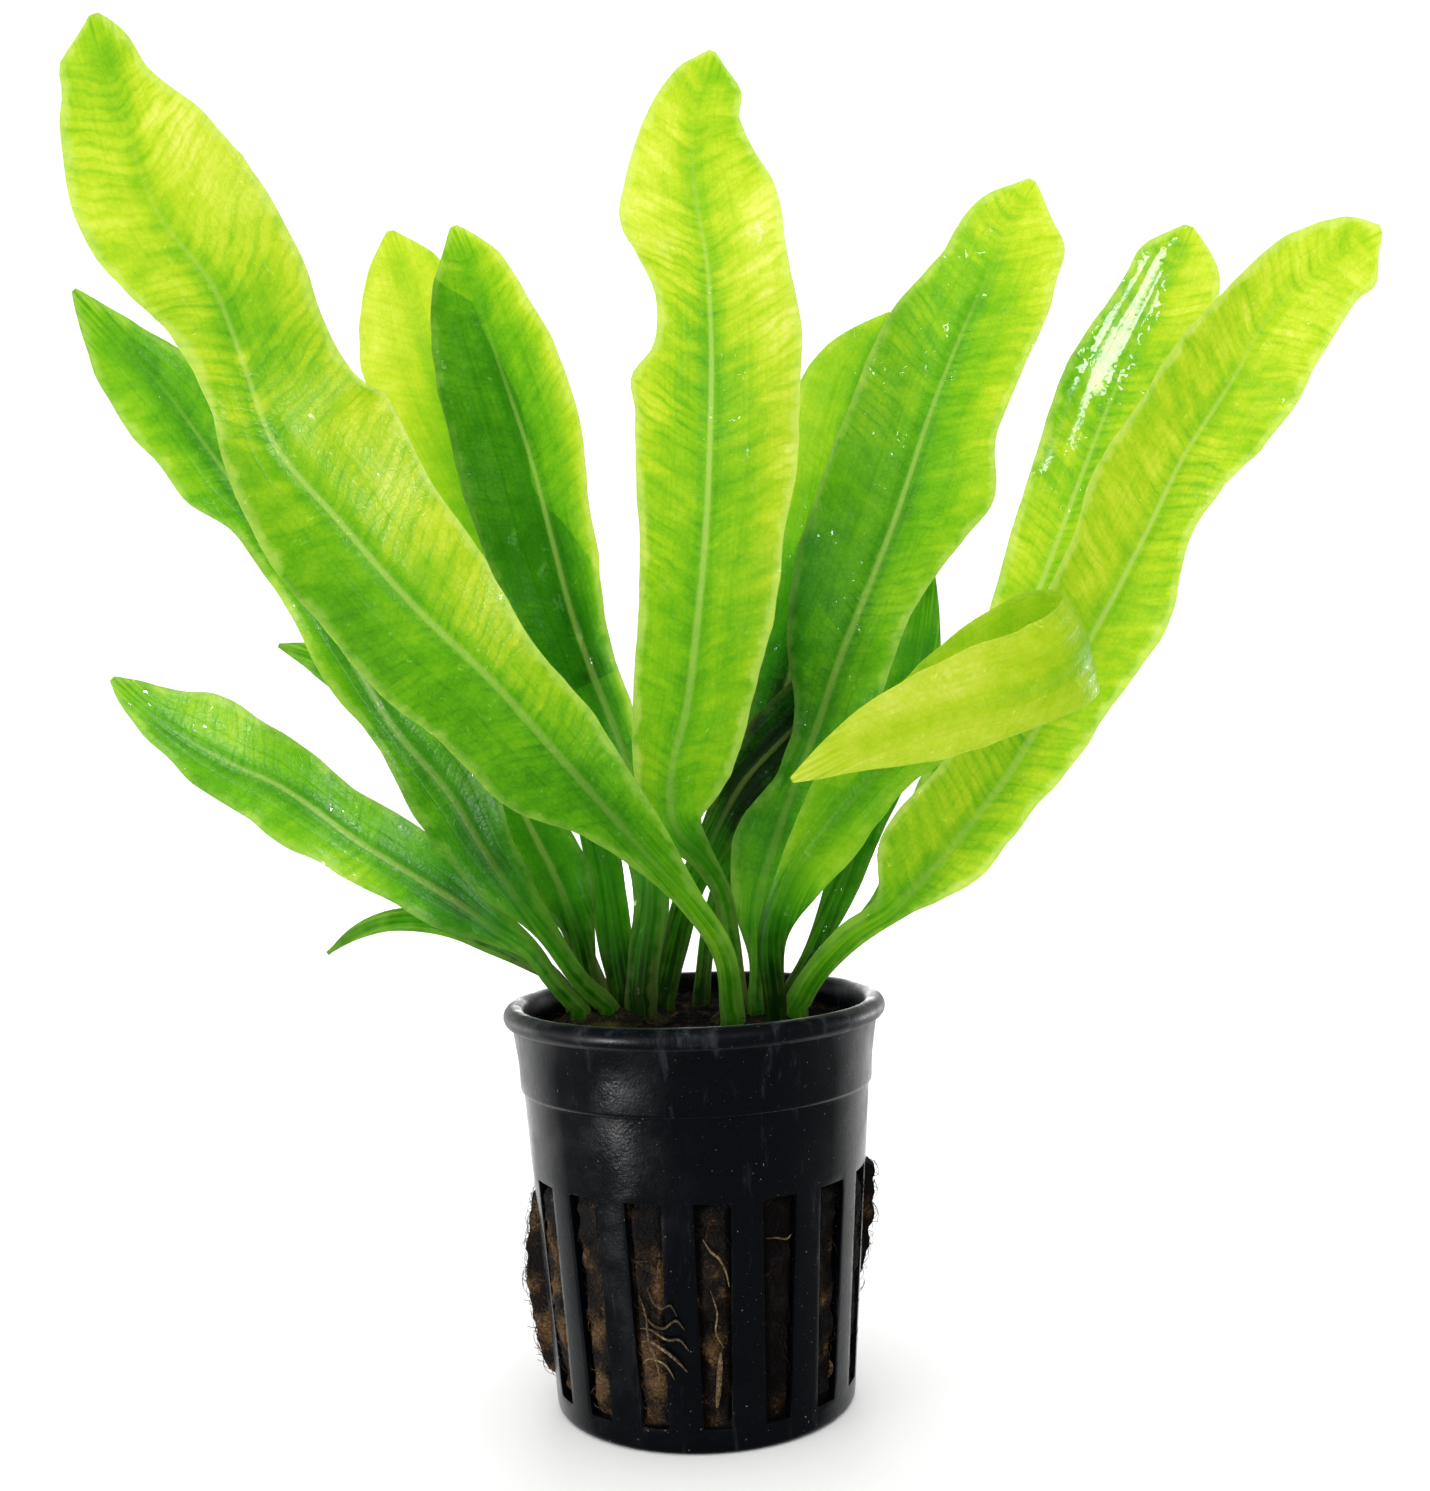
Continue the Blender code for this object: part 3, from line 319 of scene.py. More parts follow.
        (-4.2, 6.4, 0, 1.3, 1.3), (-2.4, 7.2, 58.4, 1.9, 1.8), (0.2, 8.5, 66.4, 2, 1.8),
        (3.6, 9.5, 73.5, 2.2, 3), (7.6, 10, 80.2, 3.3, 4.5), (13.8, 10.5, 86.5, 5, 4.5),
        (20.4, 11, 92.8, 4, 3.5), (26.3, 12, 99.6, 0, 0),
    )),
    Leaf("leaf_folded", 0.1, 0.4, 5, 0.25, 0, 0.8, 0.16, 0.15, rows=(
        (10.6, -3.4, 0, 1.2, 1.2), (10.1, -5, 61.5, 1.5, 2.6), (12.9, -7, 68.7, 1.9, 4.6),
        (18, -9, 75, 4.6, 5), (24.3, -12, 82, 6.2, 4), (31.6, -15, 88.5, 6.7, 5.5),
        (39.8, -18, 94, 7.7, 7.6), (45.5, -20, 97, 7.6, 7.4), (48.2, -23, 96.6, 7.4, 7),
        (46.2, -26, 94, 7.6, 6.4), (41, -27.5, 91, 8, 5.6), (34, -29, 89.4, 7, 5.9),
        (27, -30, 87.6, 5.5, 5.5), (20, -30, 85.2, 3.7, 3.7), (11.8, -30, 81.3, 0, 0),
    ), patches=(
        (0.88, -0.2, 0.25, 1.2, 0.12), (0.6, 0, 0.06, 1.5, -0.14), (0.3, 0, 0.2, 2, -0.26),
    )),
    Leaf("leaf_big_right", 0.17, 0.7, 7, 0.42, -11, 0.72, 0.46, 0.75, rows=(
        (13.2, -1.5, 0, 1.5, 1.5), (15.2, -2, 54.3, 1.6, 1.6), (20.4, -3, 60, 1.9, 1.9),
        (26, -4, 63.6, 2.8, 1.9), (29.6, -4.8, 67, 7.6, 3.6), (33, -5.4, 70.6, 9, 5),
        (37, -6, 75.4, 8.9, 5.6), (41, -7, 80.5, 8.4, 5.6), (45.4, -8, 87.5, 7.7, 6.6),
        (50.7, -8, 95.6, 8.1, 7.3), (57, -8, 106.3, 9.2, 7.5), (61, -8, 113.7, 10.2, 5.4),
        (64.3, -8, 120, 9.6, 6.4), (68.4, -8, 126, 9.4, 8.2), (72, -7, 131, 9, 8.4),
        (75.7, -6, 137, 7.3, 8.7), (79.5, -6, 141.4, 6.4, 8.3), (85.3, -5, 145.8, 5.2, 6.2),
        (89.7, -4.5, 148.6, 3, 5), (92.9, -4, 150.2, 0, 0),
    ), patches=(
        (0.97, 0.4, 0.08, 1.5, 0.1), (0.6, -0.4, 0.16, 0.8, 0.12), (0.86, 0, 0.1, 1.2, 0.14),
        (0.12, 0, 0.06, 2, -0.14),
    )),
    Leaf("leaf_wet_right", 0.17, 0.6, 6, 0.68, 9, 0.68, 0.3, 0.75, rows=(
        (13.8, 2.2, 0, 1.2, 1.2), (19, 3.5, 57, 1.2, 1.2), (25.5, 5, 63.3, 1.5, 1.5),
        (33, 7, 73, 4.2, 3.6), (39.6, 8, 85, 4.6, 5.6), (45.7, 9, 97.3, 5, 6.6),
        (51.2, 10, 109.7, 6.2, 7.1), (56.4, 11, 122, 6.9, 8.1), (61.5, 11.5, 133.6, 7.5, 9),
        (67.3, 12, 145.6, 5.2, 8.6), (71, 12, 152.6, 3.9, 5.3), (72.6, 12, 156.2, 0, 0),
    ), patches=(
        (0.95, 0.6, 0.1, 0.7, 0.2), (0.8, -0.9, 0.1, 0.3, -0.16), (0.58, -0.3, 0.12, 0.8, 0.12),
        (0.2, 0, 0.2, 2, -0.24),
    ), wet=(
        (0.93, -0.5, 0.03, 0.3), (0.9, -0.25, 0.03, 0.3), (0.86, -0.4, 0.035, 0.3),
        (0.81, -0.4, 0.035, 0.3), (0.76, -0.6, 0.03, 0.2), (0.69, -0.75, 0.02, 0.15),
        (0.88, -0.65, 0.03, 0.25), (0.73, -0.5, 0.02, 0.2),
    )),
    Leaf("leaf_right_back", 0.14, 0.6, 4, 0.1, 6, 0.34, 0.16, 0.3, rows=(
        (12.4, 5.4, 0, 1, 1), (16, 6.6, 56.5, 1.2, 1.2), (20.2, 8.5, 64.5, 2.2, 2.2),
        (24.6, 11, 74.5, 3.8, 2.8), (29.8, 13, 85.5, 3.7, 3.2), (33.4, 14, 98, 3.6, 2.9),
        (35.6, 15, 110.6, 0, 0),
    )),
)


def linear(colour):
    """Linear red, green, blue and alpha from an sRGB hex colour."""
    channels = [int(colour[i : i + 2], 16) / 255 for i in (1, 3, 5)]
    return (*[c / 12.92 if c <= 0.04045 else ((c + 0.055) / 1.055) ** 2.4 for c in channels], 1.0)


def each(size):
    """The scale of a pattern whose cells are this many millimetres wide."""
    return 1 / (size * MM)


def add(tree, kind, inputs=(), output=0, stops=(), **settings):
    """Adds a node with its settings, values and links, and returns one of its outputs.

    A kind without "Node" in it is a shader node's. Inputs go by name or number, or in order.
    """
    made = tree.nodes.new(kind if "Node" in kind else "ShaderNode" + kind)
    for name, value in settings.items():
        setattr(made, name, value)
    for key, value in inputs.items() if isinstance(inputs, dict) else enumerate(inputs):
        if isinstance(value, bpy.types.NodeSocket):
            tree.links.new(value, made.inputs[key])
        else:
            made.inputs[key].default_value = value
    for number, (place, colour) in enumerate(stops):
        ramp = made.color_ramp.elements
        stop = ramp[number] if number < 2 else ramp.new(place)
        stop.position = place
        stop.color = linear(colour)
    return made.outputs[output] if made.outputs else made


def new_material(name):
    """An empty node material, and the helper that adds a node to it."""
    made = bpy.data.materials.new(name)
    made.use_nodes = True
    made.node_tree.nodes.clear()
    return made, partial(add, made.node_tree)


def leaf_tissue():
    """Living leaf of a sword plant: waxy, and thin enough to glow where light comes through it.

    The eye sees yellow-green islands between darker cross veins, a pale midrib, a pale edge, and
    deep green wherever another leaf keeps the light away, in part as painted shade.
    """
    made, node = new_material("living leaf tissue")
    marks = [node("Attribute", output=2, attribute_name=key) for key in MARKS]
    across, side, along, share, blade, paleness_and_shade, edge, wet, behind, rib_level = marks
    place = node("TexCoord", output=3)
    out = node("Math", (side,), operation="ABSOLUTE")
    beside = node("Math", (across,), operation="ABSOLUTE")

    # Islands of 12 mm, a mottle of 2.5 mm inside them, the grain of the skin's cells, and the
    # wobble of the veins.
    islands, mottle, grain, wobble = (
        node("TexNoise", {"Vector": place, "Scale": each(size), "Detail": detail})
        for size, detail in ((12, 3.0), (2.5, 4.0), (0.5, 2.0), (9, 2.0))
    )
    # The leaf's paleness, which carries painted light and shade as well as its own tone, wavers in islands
    # and a mottle.
    level = node("Math", (islands, 0.30, paleness_and_shade), **MULTIPLY_ADD)
    level = node("Math", (mottle, 0.22, level), **MULTIPLY_ADD)
    level = node("Math", (level, 0.26), operation="SUBTRACT")
    # Painted shade where a pale leaf close behind keeps the light from coming through.
    overlap_shade = node("MapRange", (behind, -0.12, 0.12, 0.0, -0.13), **EASED)
    level = node("Math", (level, overlap_shade), operation="ADD")

    # Cross veins slant up and out from the midrib. They show where the tissue is pale and light
    # comes through it. Some leaves are smooth, and hardly show their veins.
    veined = node("Math", (rib_level, 1.4), use_clamp=True, **MULTIPLY)
    shown = node("MapRange", (level, 0.35, 0.75, 0.25), **EASED)
    shown = node("Math", (shown, veined), **MULTIPLY)
    slanted = node("Math", (out, -0.48, along), **MULTIPLY_ADD)
    bent = node("Math", (wobble, 3.0, slanted), **MULTIPLY_ADD)
    # Between the veins lie pale streaks, 1.6 mm wide and about 6 mm long.
    vein_place = node("CombineXYZ", (bent, side, paleness_and_shade))
    stretched = node("Mapping", {"Vector": vein_place, "Scale": (0.62, 0.17, 0.2)})
    streaks = node("TexNoise", {"Vector": stretched, "Scale": 1.0, "Detail": 4.0, "Roughness": 0.62})
    streaks = node("Math", (streaks, 0.5), operation="SUBTRACT")
    # The veins themselves are fine, 1.5 mm apart, and fade in and out.
    bent = node("Math", (mottle, 1.4, bent), **MULTIPLY_ADD)
    rungs = node("Math", (bent, math.tau / 1.5), **MULTIPLY)
    waves = node("Math", (rungs,), operation="SINE")
    ladder = node("MapRange", (waves, 0.1, 1.0), **EASED)
    fading = node("MapRange", (islands, 0.38, 0.62))
    rung = node("Math", (ladder, fading), **MULTIPLY)

    # A net of the smallest veins, with cells of 0.9 mm.
    cells = {"Vector": place, "Scale": each(0.9)}
    net = node("MapRange", (node("TexVoronoi", cells, feature="DISTANCE_TO_EDGE"), 0.16, 0.0))

    # A main vein runs halfway between the midrib and each margin.
    drift = node("Math", (wobble, 0.10, beside), **MULTIPLY_ADD)
    lanes = node("Math", (drift, math.tau * 2.0), **MULTIPLY)
    lane_waves = node("Math", (lanes,), operation="COSINE")
    veins = node("MapRange", (lane_waves, 0.9, 1.0), **EASED)
    # All of these are on the blade only.
    streaks, rung, net, veins = (
        node("Math", (part, blade), **MULTIPLY) for part in (streaks, rung, net, veins)
    )

    #     Painted shade in the crease close beside the raised midrib makes the tissue deeper there.
    rib_crease_shade = node("MapRange", (out, 2.6, 0.6, 0.0, -0.10), **EASED)

    # Strands 0.4 mm apart run up the petiole and fade into the blade.
    strand_place = node("CombineXYZ", (side, along))
    drawn_out = node("Mapping", {"Vector": strand_place, "Scale": (2.5, 0.05, 1.0)})
    strands = node("TexNoise", {"Vector": drawn_out, "Scale": 1.0, "Detail": 3.0})
    strands = node("Math", (strands, 0.5), operation="SUBTRACT")
    reach = node("Math", (blade, -1.1, 1.3), **MULTIPLY_ADD)
    strands = node("Math", (strands, reach), **MULTIPLY)

    # How much each of them makes the green paler, or deeper where it is below 0.
    shown_streaks = node("Math", (streaks, shown), **MULTIPLY)
    shown_rung = node("Math", (rung, shown), **MULTIPLY)
    weights = (0.55, -0.10, -0.05, -0.03, blade, 0.7)
    for part, weight in zip((shown_streaks, shown_rung, net, veins, rib_crease_shade, strands), weights):
        level = node("Math", (part, weight, level), **MULTIPLY_ADD)
    greens = (
        (0.0, "#0b2803"), (1.0, "#ebec78"), (0.20, "#297508"), (0.35, "#449310"),
        (0.50, "#6eb616"), (0.65, "#9acb1d"), (0.80, "#c3db2a"), (0.92, "#d9e64c"),
    )
    tissue = node("ValToRGB", (level,), stops=greens)

    # The midrib: pale with a soft edge, about 1.2 mm wide at the foot and thinner toward the tip.
    rib_width = node("Math", (share, -0.58, 0.78), **MULTIPLY_ADD)
    rib_place = node("Math", (out, rib_width), operation="DIVIDE")
    rib_place = node("Math", (streaks, 0.7, rib_place), **MULTIPLY_ADD)
    rib = node("MapRange", (rib_place, 1.2, 0.3), **EASED)
    rib_fade = node("MapRange", (share, 0.96, 0.6, 0.0, rib_level), **EASED)
    rib_rise = node("MapRange", (share, 0.15, 0.6, 0.25), **EASED)
    for part in (blade, rib_fade, rib_rise):
        rib = node("Math", (rib, part), **MULTIPLY)
    with_rib = node("Mix", {0: rib, 6: tissue, 7: linear("#cfe578")}, **BLEND)

    # Pale scallops just inside the edge.
    scallops = node("Math", (mottle, -2.4, edge), **MULTIPLY_ADD)
    scallops = node("MapRange", (scallops, 0.1, -0.9, 0.0, 0.5), **EASED)
    scallops = node("Math", (scallops, shown), **MULTIPLY)
    coloured = node("Mix", {0: scallops, 6: with_rib, 7: linear("#e2f084")}, **BLEND)

    # The surface: tissue swells between the veins, and has a fine waxy grain.
    height = 0.0
    for part, weight in ((rung, -0.5), (veins, -0.4), (net, -0.3), (strands, 2.0), (grain, 0.4)):
        height = node("Math", (part, weight, height), **MULTIPLY_ADD)
    bump = node("Bump", {"Height": height, "Strength": 0.5, "Distance": 0.12 * MM})
    gloss = node("MapRange", (mottle, 0.3, 0.7, 0.32, 0.48))
    # Water lies on the wet places in an uneven film, broken up into beads and worms.
    beads = {"Vector": place, "Scale": each(1.2), "Detail": 4.0, "Distortion": 1.2}
    film_waves = node("TexNoise", beads)
    film = node("Math", (film_waves, 2.6, -1.15), **MULTIPLY_ADD)
    film = node("Math", (wet, film), operation="ADD")
    film = node("MapRange", (film, 0.55, 0.7), **EASED)
    film_bump = node("Bump", {"Height": film_waves, "Strength": 1.0, "Distance": 0.045 * MM})
    # The petioles are duller than the waxy blades.
    wax = node("MapRange", {"Value": blade, "To Min": 0.02, "To Max": 0.08})
    surface = {"Base Color": coloured, "Roughness": gloss, "IOR": 1.42, "Normal": bump}
    surface.update({"Specular IOR Level": wax, "Coat Weight": film, "Coat Roughness": 0.1})
    surface.update({"Coat IOR": 1.45, "Coat Normal": film_bump})
    skin = node("BsdfPrincipled", surface)
    # Light passes through both faces of the thin leaf, so each face takes half of the colour.
    half_colour = node("Gamma", {"Color": coloured, "Gamma": 0.5})
    glow = node("BsdfTranslucent", {"Color": half_colour, "Normal": bump})
    through = node("MapRange", {"Value": film, "To Min": 0.62, "To Max": 0.3})
    node("OutputMaterial", {"Surface": node("MixShader", (through, skin, glow))})
    return made


def pot_plastic():
    """Black polypropylene, injection moulded, then handled, watered and dried.

    The eye sees near black with a blue cast, a soft uneven gloss, and a thin grey film of dried
    water and scuffs, thickest along the rim.
    """
    made, node = new_material("black moulded polypropylene")
    place = node("TexCoord", output=3)
    height = node("SeparateXYZ", (place,), output=2)
    blotches = node("TexNoise", {"Vector": place, "Scale": each(7), "Detail": 5.0, "Roughness": 0.65})
    drawn_down = node("Mapping", {"Vector": place, "Scale": (each(2.2), each(2.2), each(14))})
    runs = node("TexNoise", {"Vector": drawn_down, "Scale": 1.0, "Detail": 5.0, "Roughness": 0.7})
    specks = node("TexNoise", {"Vector": place, "Scale": each(0.35), "Detail": 2.0})
    rim = node("MapRange", (height, (POT_HEIGHT - 5) * MM, POT_HEIGHT * MM), **EASED)
    worn = node("Math", (rim, 0.09, runs), **MULTIPLY_ADD)
    film = node("MapRange", (worn, 0.57, 0.8, 0.0, 0.5), **EASED)
    colour = node("Mix", {0: film, 6: linear("#030509"), 7: linear("#3a3f47")}, **BLEND)
    dots = node("MapRange", (specks, 0.73, 0.78, 0.0, 0.6))
    dusted = node("Mix", {0: dots, 6: colour, 7: linear("#8d9092")}, **BLEND)
    gloss = node("MapRange", (blotches, 0.38, 0.62, 0.16, 0.38))
    gloss = node("Math", (rim, 0.22, gloss), **MULTIPLY_ADD)
    waves = node("Math", (blotches, 3.0, specks), **MULTIPLY_ADD)
    bump = node("Bump", {"Height": waves, "Strength": 0.35, "Distance": 0.08 * MM})
    # The plastic mirrors most where it turns away from the eye.
    turned = node("LayerWeight", {"Blend": 0.5}, output=1)
    sheen = node("MapRange", (turned, 0.42, 0.9, 0.03, 0.4))
    surface = {"Base Color": dusted, "Roughness": gloss, "IOR": 1.49, "Specular IOR Level": sheen}
    node("OutputMaterial", {"Surface": node("BsdfPrincipled", {**surface, "Normal": bump})})
    return made


def wool_fibre(name, dark, usual, pale):
    """Rock wool stained brown by peat and roots: matted fine fibres, dull and uneven.

    The eye sees dark brown with paler threads and nearly black hollows, and painted shade where the piece
    carries it in its tone.
    """
    made, node = new_material(name)
    place = node("TexCoord", output=3)
    matted = {"Vector": place, "Detail": 4.0, "Roughness": 0.6}
    clumps = node("TexNoise", {**matted, "Scale": each(4)})
    bent = node("TexNoise", {**matted, "Scale": each(1.1), "Distortion": 2.5})
    threads = node("TexVoronoi", {"Vector": place, "Scale": each(0.7)}, feature="DISTANCE_TO_EDGE")
    lines = node("MapRange", (threads, 0.0, 0.12))
    # The wool's paleness, which carries painted shade under the slots' tops.
    tone_and_shade = node("Attribute", output=2, attribute_name="tone_and_shade")
    tone_and_shade = node("Math", (tone_and_shade, 0.2), operation="SUBTRACT")
    level = node("Math", (clumps, 0.9, tone_and_shade), **MULTIPLY_ADD)
    mixed = node("Math", (bent, 0.55, level), **MULTIPLY_ADD)
    colour = node("ValToRGB", (mixed,), stops=((0.37, dark), (0.72, pale), (0.53, usual)))
    height = node("Math", (lines, -0.4, bent), **MULTIPLY_ADD)
    bump = node("Bump", {"Height": height, "Strength": 1.0, "Distance": 0.8 * MM})
    surface = {"Base Color": colour, "Roughness": 0.92, "IOR": 1.5, "Specular IOR Level": 0.05}
    node("OutputMaterial", {"Surface": node("BsdfPrincipled", {**surface, "Normal": bump})})
    return made


def pale_card():
    """The studio floor: matt white card, with the faintest unevenness."""
    made, node = new_material("matt white card")
    shade = node("TexNoise", {"Vector": node("TexCoord", output=3), "Scale": 2.0})
    colour = node("ValToRGB", (shade,), stops=((0.0, "#fafaf9"), (1.0, "#ffffff")))
    skin = node("BsdfPrincipled", {"Base Color": colour, "Roughness": 0.9})
    node("OutputMaterial", {"Surface": skin})
    return made


def placed(name, data):
    """A new object in the scene with this data."""
    made = bpy.data.objects.new(name, data)
    bpy.context.scene.collection.objects.link(made)
    return made


def piece_from(name, points, faces, look, attributes=None):
    """A piece from points in millimetres, with its place in its mesh."""
    mesh = bpy.data.meshes.new(name)
    mesh.from_pydata([Vector(point) * MM for point in points], [], faces)
    for key, values in (attributes or {}).items():
        mesh.attributes.new(key, "FLOAT", "POINT").data.foreach_set("value", values)
    mesh.shade_smooth()
    mesh.materials.append(look)
    return placed(name, mesh)


def ring_faces(first, rings, size):
    """The faces between closed rings of points that follow each other."""
    faces = []
    for base in range(first, first + (rings - 1) * size, size):
        for i in range(size):
            j = (i + 1) % size
            faces.append((base + i, base + j, base + size + j, base + size + i))
    return faces


def fan(first, size, middle):
    """The triangles from a closed ring of points to the point in its middle."""
    return [(first + i, first + (i + 1) % size, middle) for i in range(size)]


def made_plain(piece):
    """Turns what a piece's modifiers make of it into its own plain mesh."""
    graph = bpy.context.evaluated_depsgraph_get()
    mesh = bpy.data.meshes.new_from_object(piece.evaluated_get(graph))
    piece.modifiers.clear()
    piece.data = mesh
    return piece


def around(radius, degrees, height):
    """A point at this radius and height, turned from the front toward the right."""
    turn = math.radians(degrees)
    return Vector((radius * math.sin(turn), -radius * math.cos(turn), height))


def between(low, high, value):
    """How far the value is from low to high, from 0 to 1, easing in and out."""
    t = min(1.0, max(0.0, (value - low) / (high - low)))
    return t * t * (3 - 2 * t)


def wall_radius(height):
    """The pot's outer radius at a height below its step."""
    share = (height - BASE_CORNER) / (STEP_HEIGHT - BASE_CORNER)
    return BASE_RADIUS + (SHOULDER_RADIUS - BASE_RADIUS) * share


def slot_half_width(height):
    """Half the width of a slot, which widens upwards, at this height or at its nearer end."""
    share = (min(SLOT_TOP, max(SLOT_FOOT, height)) - SLOT_FOOT) / (SLOT_TOP - SLOT_FOOT)
    return (SLOT_FOOT_WIDTH + (SLOT_TOP_WIDTH - SLOT_FOOT_WIDTH) * share) / 2


def wool_top(x, y):
    """The height of the wool's top, which rises a little toward the back."""
    return WOOL_TOP + WOOL_TILT * y


def crown_top(name, x, y):
    """The height of a rootstock's dome."""
    centre_x, centre_y, radius = CROWNS[name]
    share = min(1.0, math.hypot(x - centre_x, y - centre_y) / radius)
    return wool_top(x, y) + GAP + CROWN_EDGE + CROWN_RISE * (1 - share**2)


def foot_height(x, y, half):
    """The height at which the CAD petiole of this half width stands."""
    steps = [(dx, dy) for dx in (-half, 0, half) for dy in (-half, 0, half)]
    heights = [wool_top(x + dx, y + dy) for dx, dy in steps]
    for name, (centre_x, centre_y, radius) in CROWNS.items():
        if math.hypot(x - centre_x, y - centre_y) < radius + half:
            heights += [crown_top(name, x + dx, y + dy) for dx, dy in steps]
    return max(heights) + GAP


def smooth_rows(rows, distances):
    """The rows' values at these distances along the midrib, on a smooth curve through the rows."""
    knots = [0.0]
    for a, b in zip(rows, rows[1:]):
        knots.append(knots[-1] + math.dist(a[:3], b[:3]))
    slopes = [
        [(b[k] - a[k]) / (v - u) for k in range(5)]
        for a, b, u, v in zip(rows, rows[1:], knots, knots[1:])
    ]
    tangents = [slopes[0]]
    for i in range(1, len(rows) - 1):
        before, after = knots[i] - knots[i - 1], knots[i + 1] - knots[i]
        pairs = zip(slopes[i - 1], slopes[i])
        tangents.append([(s * after + t * before) / (before + after) for s, t in pairs])
    tangents.append(slopes[-1])
    # The margins run on into the tip without a step.
    tangents[-2][3:] = [-TIP_POWER * rows[-2][k] / (knots[-1] - knots[-2]) for k in (3, 4)]
    found = []
    for at in distances:
        i = max(k for k in range(len(rows) - 1) if knots[k] <= at or k == 0)
        span = knots[i + 1] - knots[i]
        t = (at - knots[i]) / span
        row = []
        for k in range(5):
            start, end = rows[i][k], rows[i + 1][k]
            leave = tangents[i][k] * span * (t**3 - 2 * t**2 + t)
            arrive = tangents[i + 1][k] * span * (t**3 - t**2)
            row.append(start + (end - start) * (3 * t**2 - 2 * t**3) + leave + arrive)
        if i == len(rows) - 2:
            # The tip is a short, slightly rounded point.
            row[3:] = [rows[i][k] * max(0.0, 1 - t) ** TIP_POWER for k in (3, 4)]
        found.append(row)
    return found


def leaf_frames(places, roll, folded):
    """For each place on the midrib, the directions to the leaf's right and out of its face."""
    frames = []
    side = None
    turn = math.radians(roll)
    for i, place in enumerate(places):
        along = (places[min(i + 1, len(places) - 1)] - places[max(i - 1, 0)]).normalized()
        if folded and side is not None:
            side = side - along * side.dot(along)
        else:
            side = along.cross(Vector((0, -1, 0)))
        side.normalize()
        face = side.cross(along)
        turned_side = side * math.cos(turn) + face * math.sin(turn)
        frames.append((turned_side, face * math.cos(turn) - side * math.sin(turn)))
    return frames


def spots(table, share, across):
    """The sum of the soft spots in this table at this place, each falling off from its middle."""
    total = 0.0
    for at, beside, reach_along, reach_across, *amount in table:
        far = ((share - at) / reach_along) ** 2 + ((across - beside) / reach_across) ** 2
        total += math.exp(-far) * (amount[0] if amount else 1.0)
    return total


def shade_line_at(line, share):
    """The place across where the painted shade of the leaf behind begins, or one beyond the margin."""
    for (a, b), (c, d) in zip(line, line[1:]):
        if a <= share <= c:
            return b + (d - b) * (share - a) / (c - a)
    return -9.0


